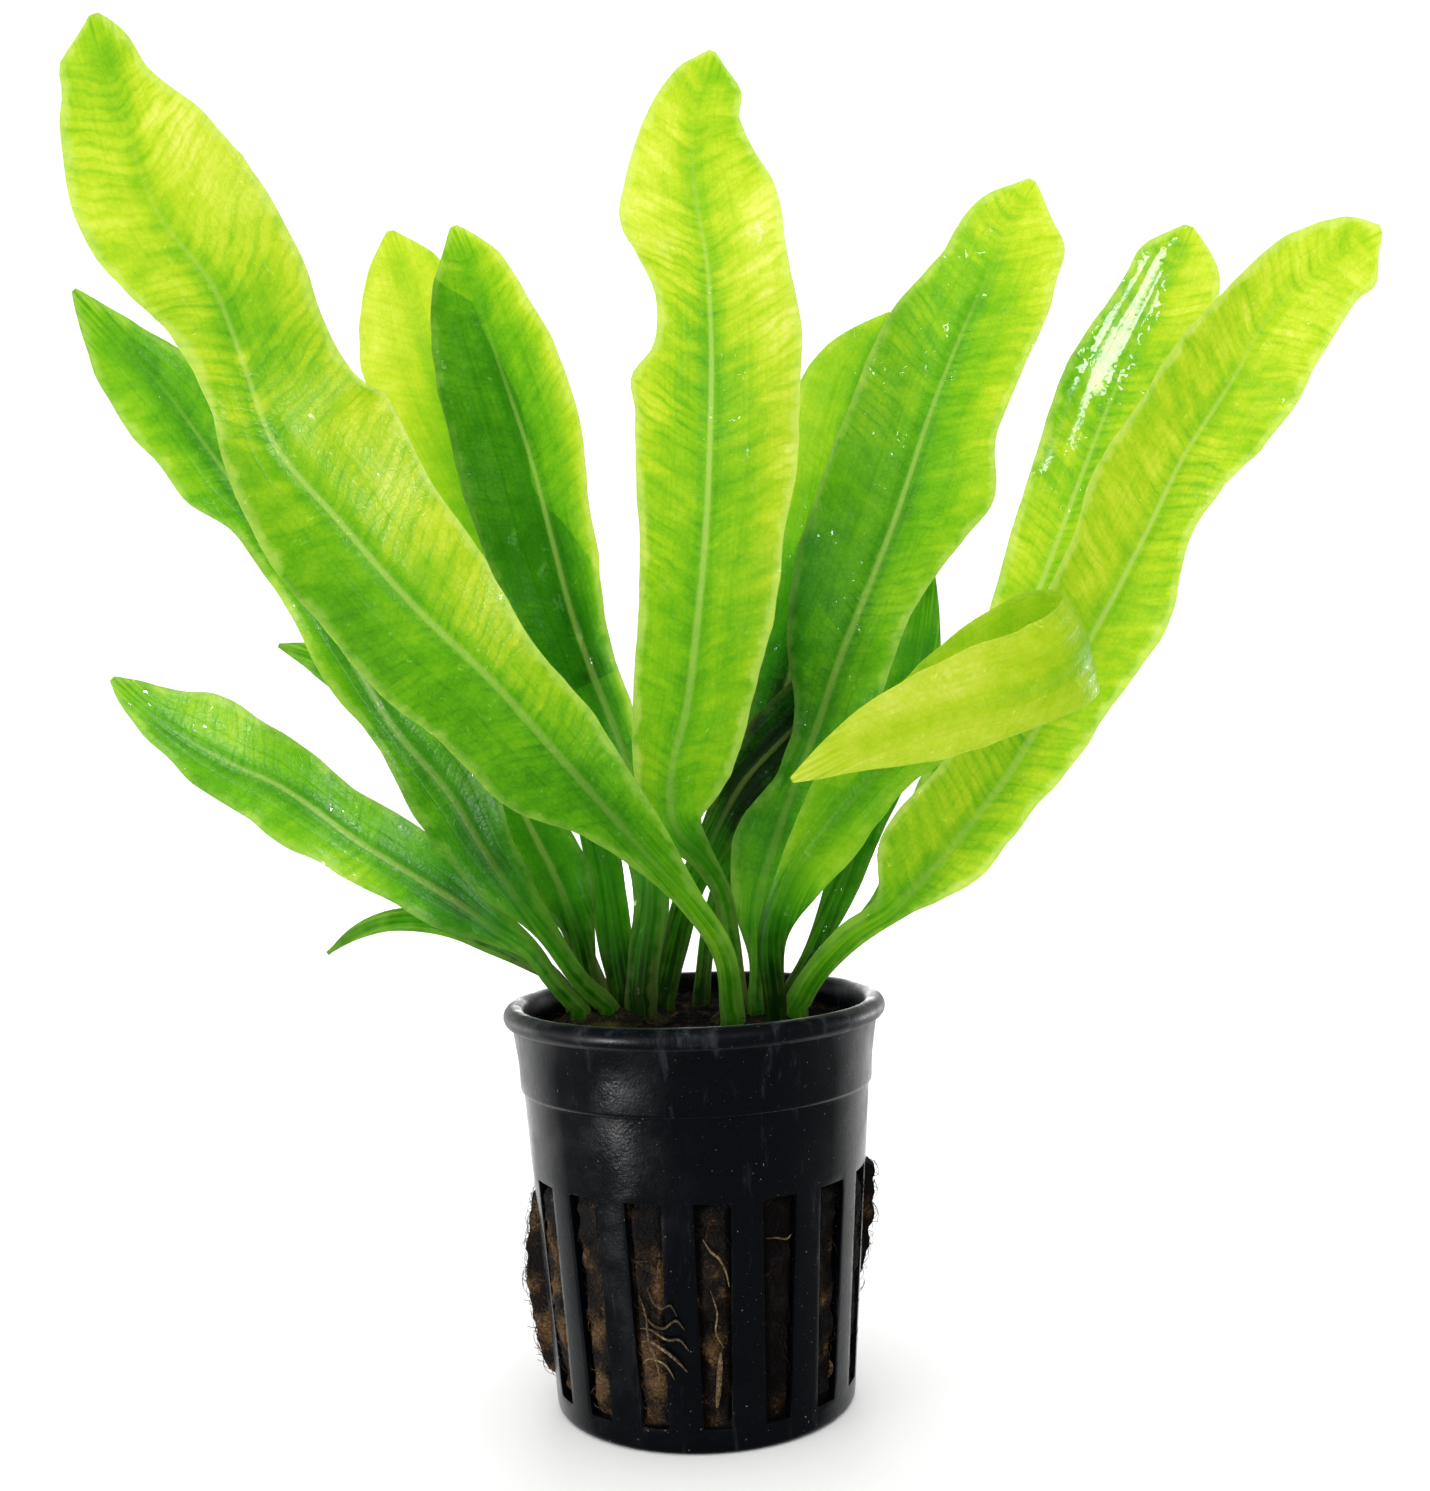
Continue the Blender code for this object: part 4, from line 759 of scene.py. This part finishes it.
def leaf_piece(leaf, number, look):
    """A petiole and its blade as one closed thin shell, with its veins' places as attributes."""
    foot_x, foot_y, _, half, _ = leaf.rows[0]
    foot = (foot_x, foot_y, foot_height(foot_x, foot_y, half))
    rows = [(*foot, half, half), *leaf.rows[1:]]
    length = sum(math.dist(a[:3], b[:3]) for a, b in zip(rows, rows[1:]))
    count = round((length - TIP_LENGTHS[0]) / STATION_SPACING)
    distances = [(length - TIP_LENGTHS[0]) * i / count for i in range(count)]
    distances += [length - left for left in TIP_LENGTHS]
    stations = smooth_rows(rows, distances)
    places = [Vector(row[:3]) for row in stations]
    frames = leaf_frames(places, leaf.roll, leaf.name == "leaf_folded")
    # The petiole starts inside the wool, below where the CAD solid stands.
    places.insert(0, places[0] - Vector((0, 0, FOOT_SINK)))
    frames.insert(0, (Vector((1, 0, 0)), Vector((0, -1, 0))))
    frames[1] = frames[0]
    stations.insert(0, stations[0])
    distances.insert(0, -FOOT_SINK)

    points = []
    marks = {key: [] for key in MARKS}
    ring_size = 2 * POINTS_ACROSS
    for at, place, (side, face), row in zip(distances, places, frames, stations):
        share = max(0.0, at / length)
        flare = 1 + FOOT_FLARE * (1 - between(0.0, FOOT_FLARE_LENGTH, at))
        widths = [max(width, LEAST_HALF_WIDTH) * flare for width in row[3:]]
        spread = (sum(widths) / 2 - BLADE_STARTS) / (BLADE_FULL - BLADE_STARTS)
        spread = min(1.0, max(0.0, spread))
        near_tip = between(0.0, NEAR_TIP, length - at)
        wave = math.tau * (leaf.waves * share + leaf.phase)
        ruffle = leaf.ruffle * spread * math.sin(math.pi * min(1.0, share)) ** 0.5
        halves = []
        # Each side of the leaf has its own waver and frill, at its own place in the noise.
        for width, lag, waver_row, frill_row in zip(widths, (0.0, MARGIN_LAG), (0.0, 40.0), (11.0, 47.0)):
            waver = noise.noise(Vector((at / OUTLINE_LENGTH, waver_row, number * 7.3)))
            width += OUTLINE_WAVER * waver * spread * near_tip
            frill = noise.noise(Vector((at / FRILL_LENGTH, frill_row, number * 3.7)))
            halves.append((width, spread * leaf.cup * width + ruffle * math.sin(wave + lag), frill))
        centre = (MIDRIB_THICKNESS + (TIP_THICKNESS - MIDRIB_THICKNESS) * share) / 2
        # Where the painted shade of a pale leaf close behind begins.
        seam = shade_line_at(leaf.seam, share)
        # The leaf's level: its own tone with the painted light and shade of its level and patches, and
        # painted shade at the petiole's foot.
        grown = between(0.0, 1.0, spread) if share < 0.5 else 1.0
        usual = leaf.petiole + (leaf.level - leaf.petiole) * grown
        usual -= FOOT_SHADE * (1 - between(0.0, FOOT_SHADE_LENGTH, at))
        for i in range(ring_size):
            turn = math.tau * i / ring_size
            s, upper = math.cos(turn), math.sin(turn)
            far = abs(s)
            width, margin_lift, frill = halves[1] if s > 0 else halves[0]
            lift = margin_lift * far**LIFT_POWER
            pleat = PLEAT * math.cos(math.tau * PLEATS_A_SIDE * far) * (1 - s * s)
            lift += spread * near_tip * (FRILL * frill * far**3 + pleat)
            slope = margin_lift * LIFT_POWER * far ** (LIFT_POWER - 1) / width * (1 if s > 0 else -1)
            lean = math.hypot(1, slope)
            rib = math.exp(-((s * width / MIDRIB_WIDTH) ** 2))
            flat = (MARGIN_THICKNESS + (BLADE_THICKNESS - MARGIN_THICKNESS) * (1 - s**4)) / 2
            blade = (flat + (centre - flat) * rib) * (1 - far**12) ** 0.5
            stem = half * PETIOLE_ROUNDNESS * flare * abs(upper) ** 0.9
            stem = stem * (1 - share) + blade * share if share > STEM_ENDS else stem
            thick = (stem + (blade - stem) * between(0.0, 1.0, spread)) * (1 if upper > 0 else -1)
            thick = 0.0 if abs(upper) < 1e-6 else thick
            points.append(place + side * (s * width - slope / lean * thick) + face * (lift + thick / lean))
            level = usual + spots(leaf.patches, share, s) * grown
            wet = min(1.0, spots(leaf.wet, share, s)) if upper > 0 else 0.0
            carried = (s, s * width, at, share, spread, level, (1 - far) * width, wet, (seam - s) * width)
            for key, value in zip(MARKS, (*carried, leaf.rib)):
                marks[key].append(value)
    faces = [face[::-1] for face in ring_faces(0, len(places), ring_size)]
    last = (len(places) - 1) * ring_size
    faces += [tuple(range(ring_size)), tuple(range(last + ring_size - 1, last - 1, -1))]
    piece = piece_from(leaf.name + "_look", points, faces, look, marks)
    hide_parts(leaf.name)
    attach(piece, "root")
    return piece


def new_tree(name, sockets, result):
    """A Geometry Nodes tree with these inputs and this result, its helper, and the inputs."""
    tree = bpy.data.node_groups.new(name, "GeometryNodeTree")
    for key, kind in sockets.items():
        tree.interface.new_socket(key, in_out="INPUT", socket_type="NodeSocket" + kind)
    tree.interface.new_socket(result, in_out="OUTPUT", socket_type="NodeSocketGeometry")
    return tree, partial(add, tree), tree.nodes.new("NodeGroupInput").outputs


def sector_tree(look):
    """Geometry Nodes that repeat one sector of the pot round its axis, as one closed mesh."""
    sockets = {"Sector": "Geometry", "Count": "Int", "Merge distance": "Float"}
    tree, node, given = new_tree("repeat round the axis", sockets, "Whole")
    index = node("GeometryNodeInputIndex")
    line = node("GeometryNodeMeshLine", {"Count": given["Count"], "Offset": (0, 0, 0)})
    step = node("Math", (math.tau, given["Count"]), operation="DIVIDE")
    rotation = node("CombineXYZ", {2: node("Math", (index, step), **MULTIPLY)})
    sectors = {"Points": line, "Instance": given["Sector"], "Rotation": rotation}
    real = node("GeometryNodeRealizeInstances", (node("GeometryNodeInstanceOnPoints", sectors),))
    closed = {"Geometry": real, "Distance": given["Merge distance"]}
    merged = node("GeometryNodeMergeByDistance", closed)
    node("NodeGroupOutput", (node("GeometryNodeSetMaterial", {"Geometry": merged, "Material": look}),))
    return tree


def through_nodes(piece, tree, values):
    """Runs a piece through a Geometry Nodes tree with these input values, down to a plain mesh."""
    modifier = piece.modifiers.new("shape", "NODES")
    modifier.node_group = tree
    for item in tree.interface.items_tree:
        if item.in_out == "INPUT" and item.name in values:
            modifier[item.identifier] = values[item.name]
    return made_plain(piece)


def pot_rows():
    """The wall's section as (radius, height) up the outside, over the rim and down the inside.

    After it come the numbers of the rows at the ends of the slots, outside and inside.
    """
    middle, inner_edge, outer_edge = FLOOR_ROWS
    slot_heights = [SLOT_FOOT + (SLOT_TOP - SLOT_FOOT) * i / 12 for i in range(13)]
    rows = [(0.0, 0.0), (middle, 0.0), (DRAIN_CIRCLE, 0.0), (outer_edge, 0.0)]
    for turn in map(math.radians, (0, 22, 45, 67, 90)):
        corner = BASE_CORNER * (1 - math.cos(turn))
        rows.append((BASE_RADIUS - BASE_CORNER * (1 - math.sin(turn)), corner))
    rows += [(wall_radius(h), h) for h in WALL_ROWS_BELOW_SLOTS]
    outer = (len(rows), len(rows) + len(slot_heights) - 1)
    rows += [(wall_radius(h), h) for h in slot_heights]
    rows += [(wall_radius(h), h) for h in (*WALL_ROWS_ABOVE_SLOTS, 40.0, STEP_HEIGHT - 0.35)]
    # The step's soft corners, then the band, which flares a little on its way up.
    band = SHOULDER_RADIUS + STEP_DEPTH
    rows += [(SHOULDER_RADIUS + 0.02, STEP_HEIGHT), (band - 0.08, STEP_HEIGHT + 0.18)]
    rows += [(band, STEP_HEIGHT + 0.5), (band + 0.15, 45.0)]
    bead_height = POT_HEIGHT - RIM_BEAD
    for turn in map(math.radians, range(-80, 171, 18)):
        bead = (RIM_BEAD * math.cos(turn), RIM_BEAD * math.sin(turn))
        rows.append((BAND_RADIUS + bead[0], bead_height + bead[1]))
    rows += [(BAND_RADIUS - WALL, bead_height - 1.2), (BAND_RADIUS - WALL - 0.1, 47.0)]
    rows += [(SHOULDER_RADIUS + STEP_DEPTH / 2 - WALL, STEP_HEIGHT - WALL)]
    rows += [(wall_radius(h) - WALL, h) for h in WALL_ROWS_ABOVE_SLOTS[::-1]]
    inner = (len(rows), len(rows) + len(slot_heights) - 1)
    rows += [(wall_radius(h) - WALL, h) for h in slot_heights[::-1]]
    inside = BASE_RADIUS - WALL
    rows += [(inside, FLOOR + FLOOR_CORNER), (inside - 0.3, FLOOR + 0.3), (inside - FLOOR_CORNER, FLOOR)]
    rows += [(radius, FLOOR) for radius in (inner_edge, DRAIN_CIRCLE, middle, 0.0)]
    return rows, outer, inner


def pot_piece():
    """The slotted pot: one sector with its slot, repeated round the axis, then drilled."""
    rows, (first, last), (inner_first, inner_last) = pot_rows()
    half_sector = 180 / SLOT_COUNT
    # Columns of faces on each half rib and across the slot.
    ribs, slots = 3, 4
    columns = 2 * ribs + slots + 1
    points = []
    for radius, height in rows:
        edge = math.degrees(math.asin(min(0.9, slot_half_width(height) / max(radius, 16.0))))
        turns = [-half_sector + (half_sector - edge) * i / ribs for i in range(ribs)]
        turns += [-edge + 2 * edge * i / slots for i in range(slots + 1)]
        turns += [edge + (half_sector - edge) * i / ribs for i in range(1, ribs + 1)]
        points += [around(radius, turn, height) for turn in turns]
    faces = []
    for row in range(len(rows) - 1):
        cut = first <= row < last or inner_first <= row < inner_last
        for column in range(columns - 1):
            if not (cut and ribs <= column < ribs + slots):
                a = row * columns + column
                faces.append((a, a + 1, a + columns + 1, a + columns))
    # The slot's own walls, from the outer face to the inner one.
    for step in range(last - first):
        for column in (ribs, ribs + slots):
            a, b = (first + step) * columns + column, (first + step + 1) * columns + column
            c, d = (inner_last - step) * columns + column, (inner_last - step - 1) * columns + column
            faces.append((a, b, d, c))
    for row, inner in ((first, inner_last), (last, inner_first)):
        for column in range(ribs, ribs + slots):
            a, c = row * columns + column, inner * columns + column
            faces.append((a, a + 1, c + 1, c))
    look = pot_plastic()
    pot = piece_from("net_pot_look", points, faces, look)
    through_nodes(pot, sector_tree(look), {"Count": SLOT_COUNT, "Merge distance": 0.01 * MM})
    drill_points = [
        around(DRAIN_CIRCLE, 0, height) + around(DRAIN_RADIUS, 360 * i / DRILL_SIDES, 0)
        for height in (-1.0, FLOOR + 0.6)
        for i in range(DRILL_SIDES)
    ]
    drill_ends = [tuple(range(DRILL_SIDES - 1, -1, -1)), tuple(range(DRILL_SIDES, 2 * DRILL_SIDES))]
    drills = piece_from("drain_drills", drill_points, ring_faces(0, 2, DRILL_SIDES) + drill_ends, look)
    through_nodes(drills, sector_tree(look), {"Count": DRAIN_COUNT, "Merge distance": 0.0})
    for piece in (drills, pot):
        with_normals(piece)
        piece.data.transform(Matrix.Rotation(math.radians(SLOT_TURN), 4, "Z"))
    cut = pot.modifiers.new("drains", "BOOLEAN")
    cut.operation = "DIFFERENCE"
    cut.solver = "EXACT"
    cut.object = drills
    made_plain(pot)
    bpy.data.objects.remove(drills)
    soft = pot.modifiers.new("rounded edges", "BEVEL")
    soft.width = EDGE_SOFTNESS * MM
    soft.segments = 2
    soft.limit_method = "ANGLE"
    soft.angle_limit = math.radians(50)
    made_plain(pot)
    pot.data.set_sharp_from_angle(angle=math.radians(60))
    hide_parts("net_pot")
    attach(pot, "root")
    return pot


def with_normals(piece):
    """Merges a closed mesh's doubles and points its faces outwards."""
    bm = bmesh.new()
    bm.from_mesh(piece.data)
    bmesh.ops.remove_doubles(bm, verts=bm.verts, dist=0.002 * MM)
    bmesh.ops.recalc_face_normals(bm, faces=bm.faces)
    bm.to_mesh(piece.data)
    bm.free()


def slot_near(degrees):
    """The number of the slot nearest this angle, and how many degrees off its middle this is."""
    pitch = 360 / SLOT_COUNT
    number = round((degrees - SLOT_TURN) / pitch)
    return number, degrees - SLOT_TURN - number * pitch


def in_slot(degrees, height, radius, limits):
    """How far inside a slot this place is, from 0 behind the plastic to 1."""
    across, above, below = limits
    _, off = slot_near(degrees)
    half = math.degrees(slot_half_width(height) / radius)
    level = between(SLOT_FOOT + above[0], SLOT_FOOT + above[1], height)
    level *= 1 - between(SLOT_TOP - below[0], SLOT_TOP - below[1], height)
    return level * (1 - between(half * across[0], half * across[1], abs(off)))


def wool_radius(degrees, height):
    """How far out the wool reaches: against the plastic, and out into the slots."""
    number, _ = slot_near(degrees)
    wall = wall_radius(min(height, STEP_HEIGHT))
    held = wall - WALL - WOOL_CLEAR
    most, middle = WOOL_SWELL.get(number, (0.0, 15.0))
    swell = most * max(0.0, 1 - ((height - middle) / SWELL_REACH) ** 2)
    # The noise is read on a ring, so that the lumps close on themselves.
    lumps = LUMPS * noise.fractal(around(LUMP_RING, degrees, height / LUMP_LENGTH), 1.0, 2.0, 3)
    out = wall - WOOL_RECESS + swell - held + lumps
    return held + in_slot(degrees, height, held, COMES_OUT) * out


def wool_tone_and_shade(degrees, height):
    """How much paler the wool is here: paler at the left and darker at the right, with painted shade under
    the slots' tops.
    """
    # Paler toward the left and darker toward the right.
    dry = 0.12 * between(4.0, -20.0, degrees) - 0.12 * between(10.0, 32.0, degrees)
    # Painted shade under the slots' tops.
    shaded = 0.16 * between(SLOT_TOP - 9.0, SLOT_TOP - 2.0, height)
    clumps = 0.34 * noise.noise(around(6.0, degrees * 1.3, height / 3.6))
    return dry - shaded + clumps - 0.09


def fuzz_tree(look):
    """Geometry Nodes that strew short bent threads where the wool is open."""
    sockets = {"Wool": "Geometry", "Threads a square metre": "Float", "Length": "Float", "Radius": "Float"}
    tree, node, given = new_tree("threads on the wool", sockets, "Threads")
    share = node("GeometryNodeInputNamedAttribute", {"Name": "open"}, data_type="FLOAT")
    density = node("Math", (share, given["Threads a square metre"]), **MULTIPLY)
    strewn = {"Mesh": given["Wool"], "Density": density, "Seed": 3}
    spread = node("GeometryNodeDistributePointsOnFaces", strewn)
    limits = {0: (-0.5, -0.5, 0.0), 1: (0.5, 0.5, math.tau), "Seed": 5}
    turns = node("FunctionNodeRandomValue", limits, data_type="FLOAT_VECTOR")
    turning = {"Rotation": spread.node.outputs["Rotation"], "Rotate By": turns}
    turned = node("FunctionNodeRotateRotation", turning, rotation_space="LOCAL")
    # A thread is an arc along X that bows out of the wool, its two ends sunk in it.
    far, near, bow, sunk = (
        node("Math", (given["Length"], factor), **MULTIPLY) for factor in (0.5, -0.5, 0.35, -0.08)
    )
    start, middle, end = (
        node("CombineXYZ", place) for place in ({0: near, 2: sunk}, {1: bow, 2: bow}, {0: far, 2: sunk})
    )
    arc = {"Resolution": 5, "Start": start, "Middle": middle, "End": end}
    section = {"Resolution": 3, "Radius": given["Radius"]}
    swept = {
        "Curve": node("GeometryNodeCurveQuadraticBezier", arc),
        "Profile Curve": node("GeometryNodeCurvePrimitiveCircle", section, mode="RADIUS"),
        "Fill Caps": True,
    }
    thread = node("GeometryNodeCurveToMesh", swept)
    size = node("FunctionNodeRandomValue", {2: 0.4, 3: 1.2, "Seed": 7}, output=1, data_type="FLOAT")
    threads = {"Points": spread, "Instance": thread, "Rotation": turned, "Scale": size}
    real = node("GeometryNodeRealizeInstances", (node("GeometryNodeInstanceOnPoints", threads),))
    node("NodeGroupOutput", (node("GeometryNodeSetMaterial", {"Geometry": real, "Material": look}),))
    return tree


def wool_piece():
    """The brown wool: a lumpy top, and a wall that pushes into the slots."""
    foot = FLOOR + GAP
    turns = [360 * i / WOOL_COLUMNS - 180 for i in range(WOOL_COLUMNS)]
    #         Each point, how open the wool lies there and how pale it is, with painted shade under the slots'
    #         tops.
    places = [(Vector((0, 0, foot)), 0.0, 0.0)]
    for step in range(WOOL_WALL_STEPS + 1):
        height = foot + (WOOL_WALL_TOP - foot) * step / WOOL_WALL_STEPS
        corner = FLOOR_CORNER * max(0.0, 1 - (height - foot) / WOOL_CORNER)
        for degrees in turns:
            point = around(wool_radius(degrees, height) - corner, degrees, height)
            bare = in_slot(degrees, height, wall_radius(height), LIES_OPEN)
            places.append((point, bare, wool_tone_and_shade(degrees, height)))
    brim = SHOULDER_RADIUS - WALL - WOOL_CLEAR
    for ring in range(WOOL_TOP_RINGS):
        share = 1 - ring / WOOL_TOP_RINGS
        drop = TOP_EDGE_DROP * between(0.9, 1.0, share)
        for degrees in turns:
            x, y, _ = around(brim * share, degrees, 0)
            at = Vector((x / TOP_LUMP_LENGTH, y / TOP_LUMP_LENGTH, 5.0))
            rough = TOP_LUMPS * noise.fractal(at, 1.0, 2.1, 4)
            top = wool_top(x, y) - drop + rough * between(1.0, 0.93, share)
            at = Vector((x / TOP_TONE_LENGTH, y / TOP_TONE_LENGTH, 9.0))
            tone_and_shade = TOP_TONE + TOP_TONE_WAVER * noise.noise(at)
            places.append((Vector((x, y, top)), TOP_OPEN, tone_and_shade))
    places.append((Vector((0, 0, wool_top(0, 0))), TOP_OPEN, TOP_TONE))
    points, bare, tones = zip(*places)
    rings = WOOL_WALL_STEPS + 1 + WOOL_TOP_RINGS
    faces = [face[::-1] for face in fan(1, WOOL_COLUMNS, 0)] + ring_faces(1, rings, WOOL_COLUMNS)
    faces += fan(1 + (rings - 1) * WOOL_COLUMNS, WOOL_COLUMNS, len(points) - 1)
    look = wool_fibre("brown matted rock wool", "#060302", "#22160c", "#725535")
    wool = piece_from("wool_look", points, faces, look, {"open": bare, "tone_and_shade": tones})
    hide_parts("wool_plug")
    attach(wool, "root")

    threads = placed("wool_threads", wool.data.copy())
    number, length, half = THREADS
    sizes = {"Threads a square metre": number, "Length": length * MM, "Radius": half * MM}
    fibres = wool_fibre("loose brown fibres", "#120c07", "#3a2a1a", "#7a6040")
    through_nodes(threads, fuzz_tree(fibres), sizes)
    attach(threads, "root")
    return wool


def root_tree(look):
    """Geometry Nodes that sweep a round, tapering root along each line of edges."""
    sockets = {"Lines": "Geometry", "Thickness": "Float"}
    tree, node, given = new_tree("roots along lines", sockets, "Roots")
    half = node("GeometryNodeInputNamedAttribute", {"Name": "half"}, data_type="FLOAT")
    section = {"Resolution": 6, "Radius": given["Thickness"]}
    swept = {
        "Curve": node("GeometryNodeMeshToCurve", (given["Lines"],)),
        "Profile Curve": node("GeometryNodeCurvePrimitiveCircle", section, mode="RADIUS"),
        "Scale": half,
        "Fill Caps": True,
    }
    real = node("GeometryNodeRealizeInstances", (node("GeometryNodeCurveToMesh", swept),))
    node("NodeGroupOutput", (node("GeometryNodeSetMaterial", {"Geometry": real, "Material": look}),))
    return tree


def roots_piece():
    """The pale roots on the wool, smooth curves through the places in the table."""
    points = []
    edges = []
    halves = []
    for half, places in ROOTS:
        path = [around(wall_radius(height) + out, degrees, height) for degrees, height, out in places]
        path = [path[0], *path, path[-1]]
        count = (len(places) - 1) * ROOT_STEPS
        for i in range(count + 1):
            span = min(i // ROOT_STEPS, len(places) - 2)
            t = i / ROOT_STEPS - span
            a, b, c, d = path[span : span + 4]
            place = b * 2 + (c - a) * t + (a * 2 - b * 5 + c * 4 - d) * t * t
            place = (place + (b * 3 - a - c * 3 + d) * t**3) * 0.5
            if i:
                edges.append((len(points) - 1, len(points)))
            points.append(place * MM)
            # Both ends taper to about a third.
            halves.append(half * min(1.0, 0.35 + 2.5 * min(i, count - i) / count))
    mesh = bpy.data.meshes.new("pale_roots")
    mesh.from_pydata(points, edges, [])
    mesh.attributes.new("half", "FLOAT", "POINT").data.foreach_set("value", halves)
    roots = placed("pale_roots", mesh)
    look = wool_fibre("pale dry roots", "#35271a", "#705a3e", "#ab9670")
    through_nodes(roots, root_tree(look), {"Thickness": MM})
    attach(roots, "root")
    return roots


def rootstock_piece(name):
    """A low knobbly rootstock, sunk a little into the wool."""
    centre_x, centre_y, radius = CROWNS[name]
    points = []
    for ring in range(CROWN_RINGS):
        share = math.cos(math.pi / 2 * ring / CROWN_RINGS)
        for i in range(CROWN_SIDES):
            turn = math.tau * i / CROWN_SIDES
            x = centre_x + share * radius * math.cos(turn)
            y = centre_y + share * radius * math.sin(turn)
            knob = KNOBS * noise.fractal(Vector((x / KNOB_LENGTH, y / KNOB_LENGTH, 2.0)), 1.0, 2.0, 3)
            top = crown_top(name, x, y) + knob * (1 - share**4) - EDGE_SINK * share**6
            points.append(Vector((x, y, top)))
    top, under = len(points), len(points) + 1
    points.append(Vector((centre_x, centre_y, crown_top(name, centre_x, centre_y))))
    points.append(Vector((centre_x, centre_y, wool_top(centre_x, centre_y) - CROWN_DEPTH)))
    faces = ring_faces(0, CROWN_RINGS, CROWN_SIDES)
    faces += fan((CROWN_RINGS - 1) * CROWN_SIDES, CROWN_SIDES, top)
    faces += [face[::-1] for face in fan(0, CROWN_SIDES, under)]
    look = wool_fibre("old rootstock of " + name, "#0e0c06", "#262412", "#4d4a20")
    piece = piece_from(name + "_look", points, faces, look)
    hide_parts(name)
    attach(piece, "root")
    return piece


# The lights, in metres: name, place, what it points at, width, height and brightness over its
# surface. A gleam shows only as a reflection in what is glossy.
LIGHTS = (
    ("back light", (0.02, 1.1, 0.14), (0, 0, 0.1), 0.45, 0.45, 8.0),
)
GLEAMS = (
    ("left strip", (-0.135, -0.115, 0.024), (0, 0, 0.036), 0.02, 0.044, 600.0),
    ("left back card", (-0.36, 0.10, 0.05), (0, 0, 0.03), 0.10, 0.09, 40.0),
    ("right back card", (0.36, 0.17, 0.05), (0, 0, 0.03), 0.14, 0.09, 30.0),
    ("front right window", (0.202, -0.717, 0.445), (0.064, 0.012, 0.145), 0.38, 0.24, 26.0),
    ("front left window", (-0.361, -0.684, 0.275), (-0.017, 0.02, 0.115), 0.1, 0.1, 40.0),
)
SURROUND = 1.22
FLOOR_REACH = 3.0


def softbox(name, place, target, width, height, brightness, gleam):
    """A soft area light from one of the tables."""
    light = bpy.data.lights.new(name, "AREA")
    light.shape = "RECTANGLE"
    light.size = width
    light.size_y = height
    light.energy = brightness * math.pi * width * height
    made = placed(name, light)
    made.location = place
    made.rotation_euler = (Vector(target) - Vector(place)).to_track_quat("-Z", "Y").to_euler()
    made.visible_diffuse = not gleam
    made.visible_transmission = not gleam
    return made


def studio():
    """A white floor, a white surround, and soft light, most of it from behind."""
    mesh = bpy.data.meshes.new("floor")
    corners = [(x * FLOOR_REACH, y * FLOOR_REACH, 0) for x, y in ((-1, -1), (1, -1), (1, 1), (-1, 1))]
    mesh.from_pydata(corners, [], [(0, 1, 2, 3)])
    mesh.materials.append(pale_card())
    floor = placed("floor", mesh)
    floor.location.z = -0.02 * MM
    world = bpy.data.worlds.new("white surround")
    world.use_nodes = True
    background = world.node_tree.nodes["Background"].inputs
    background["Color"].default_value = (1.0, 1.0, 1.0, 1.0)
    background["Strength"].default_value = SURROUND
    bpy.context.scene.world = world
    for lights, gleam in ((LIGHTS, False), (GLEAMS, True)):
        for light in lights:
            softbox(*light, gleam)
    bpy.context.scene.view_settings.view_transform = "Standard"


# The camera, found by fitting the pot's rim, base and slots in the photograph.
CAMERA_PLACE = (1.55, -221.0, 86.5)
CAMERA_YAW = 0.0105
CAMERA_PITCH = 0.0041
CAMERA_ROLL = 0.033
FOCAL_PIXELS = 1672.0
PHOTO_HEIGHT = 1491.0


def camera():
    """The camera, at the photograph's angle and distance."""
    level = Vector((math.sin(CAMERA_YAW), math.cos(CAMERA_YAW), 0))
    forward = level * math.cos(CAMERA_PITCH) - Vector((0, 0, math.sin(CAMERA_PITCH)))
    right = Vector((math.cos(CAMERA_YAW), -math.sin(CAMERA_YAW), 0))
    up = right.cross(forward)
    across = right * math.cos(CAMERA_ROLL) - up * math.sin(CAMERA_ROLL)
    upward = right * math.sin(CAMERA_ROLL) + up * math.cos(CAMERA_ROLL)
    data = bpy.data.cameras.new("camera")
    data.sensor_width = 36.0
    data.lens = FOCAL_PIXELS / PHOTO_HEIGHT * data.sensor_width
    data.clip_start = 0.01
    made = placed("camera", data)
    turned = Matrix((across, upward, -forward)).transposed().to_4x4()
    made.matrix_world = Matrix.Translation(Vector(CAMERA_PLACE) * MM) @ turned
    bpy.context.scene.camera = made


studio()
camera()
pot_piece()
wool_piece()
roots_piece()
for crown in CROWNS:
    rootstock_piece(crown)
tissue = leaf_tissue()
for number, leaf in enumerate(LEAVES):
    leaf_piece(leaf, number, tissue)
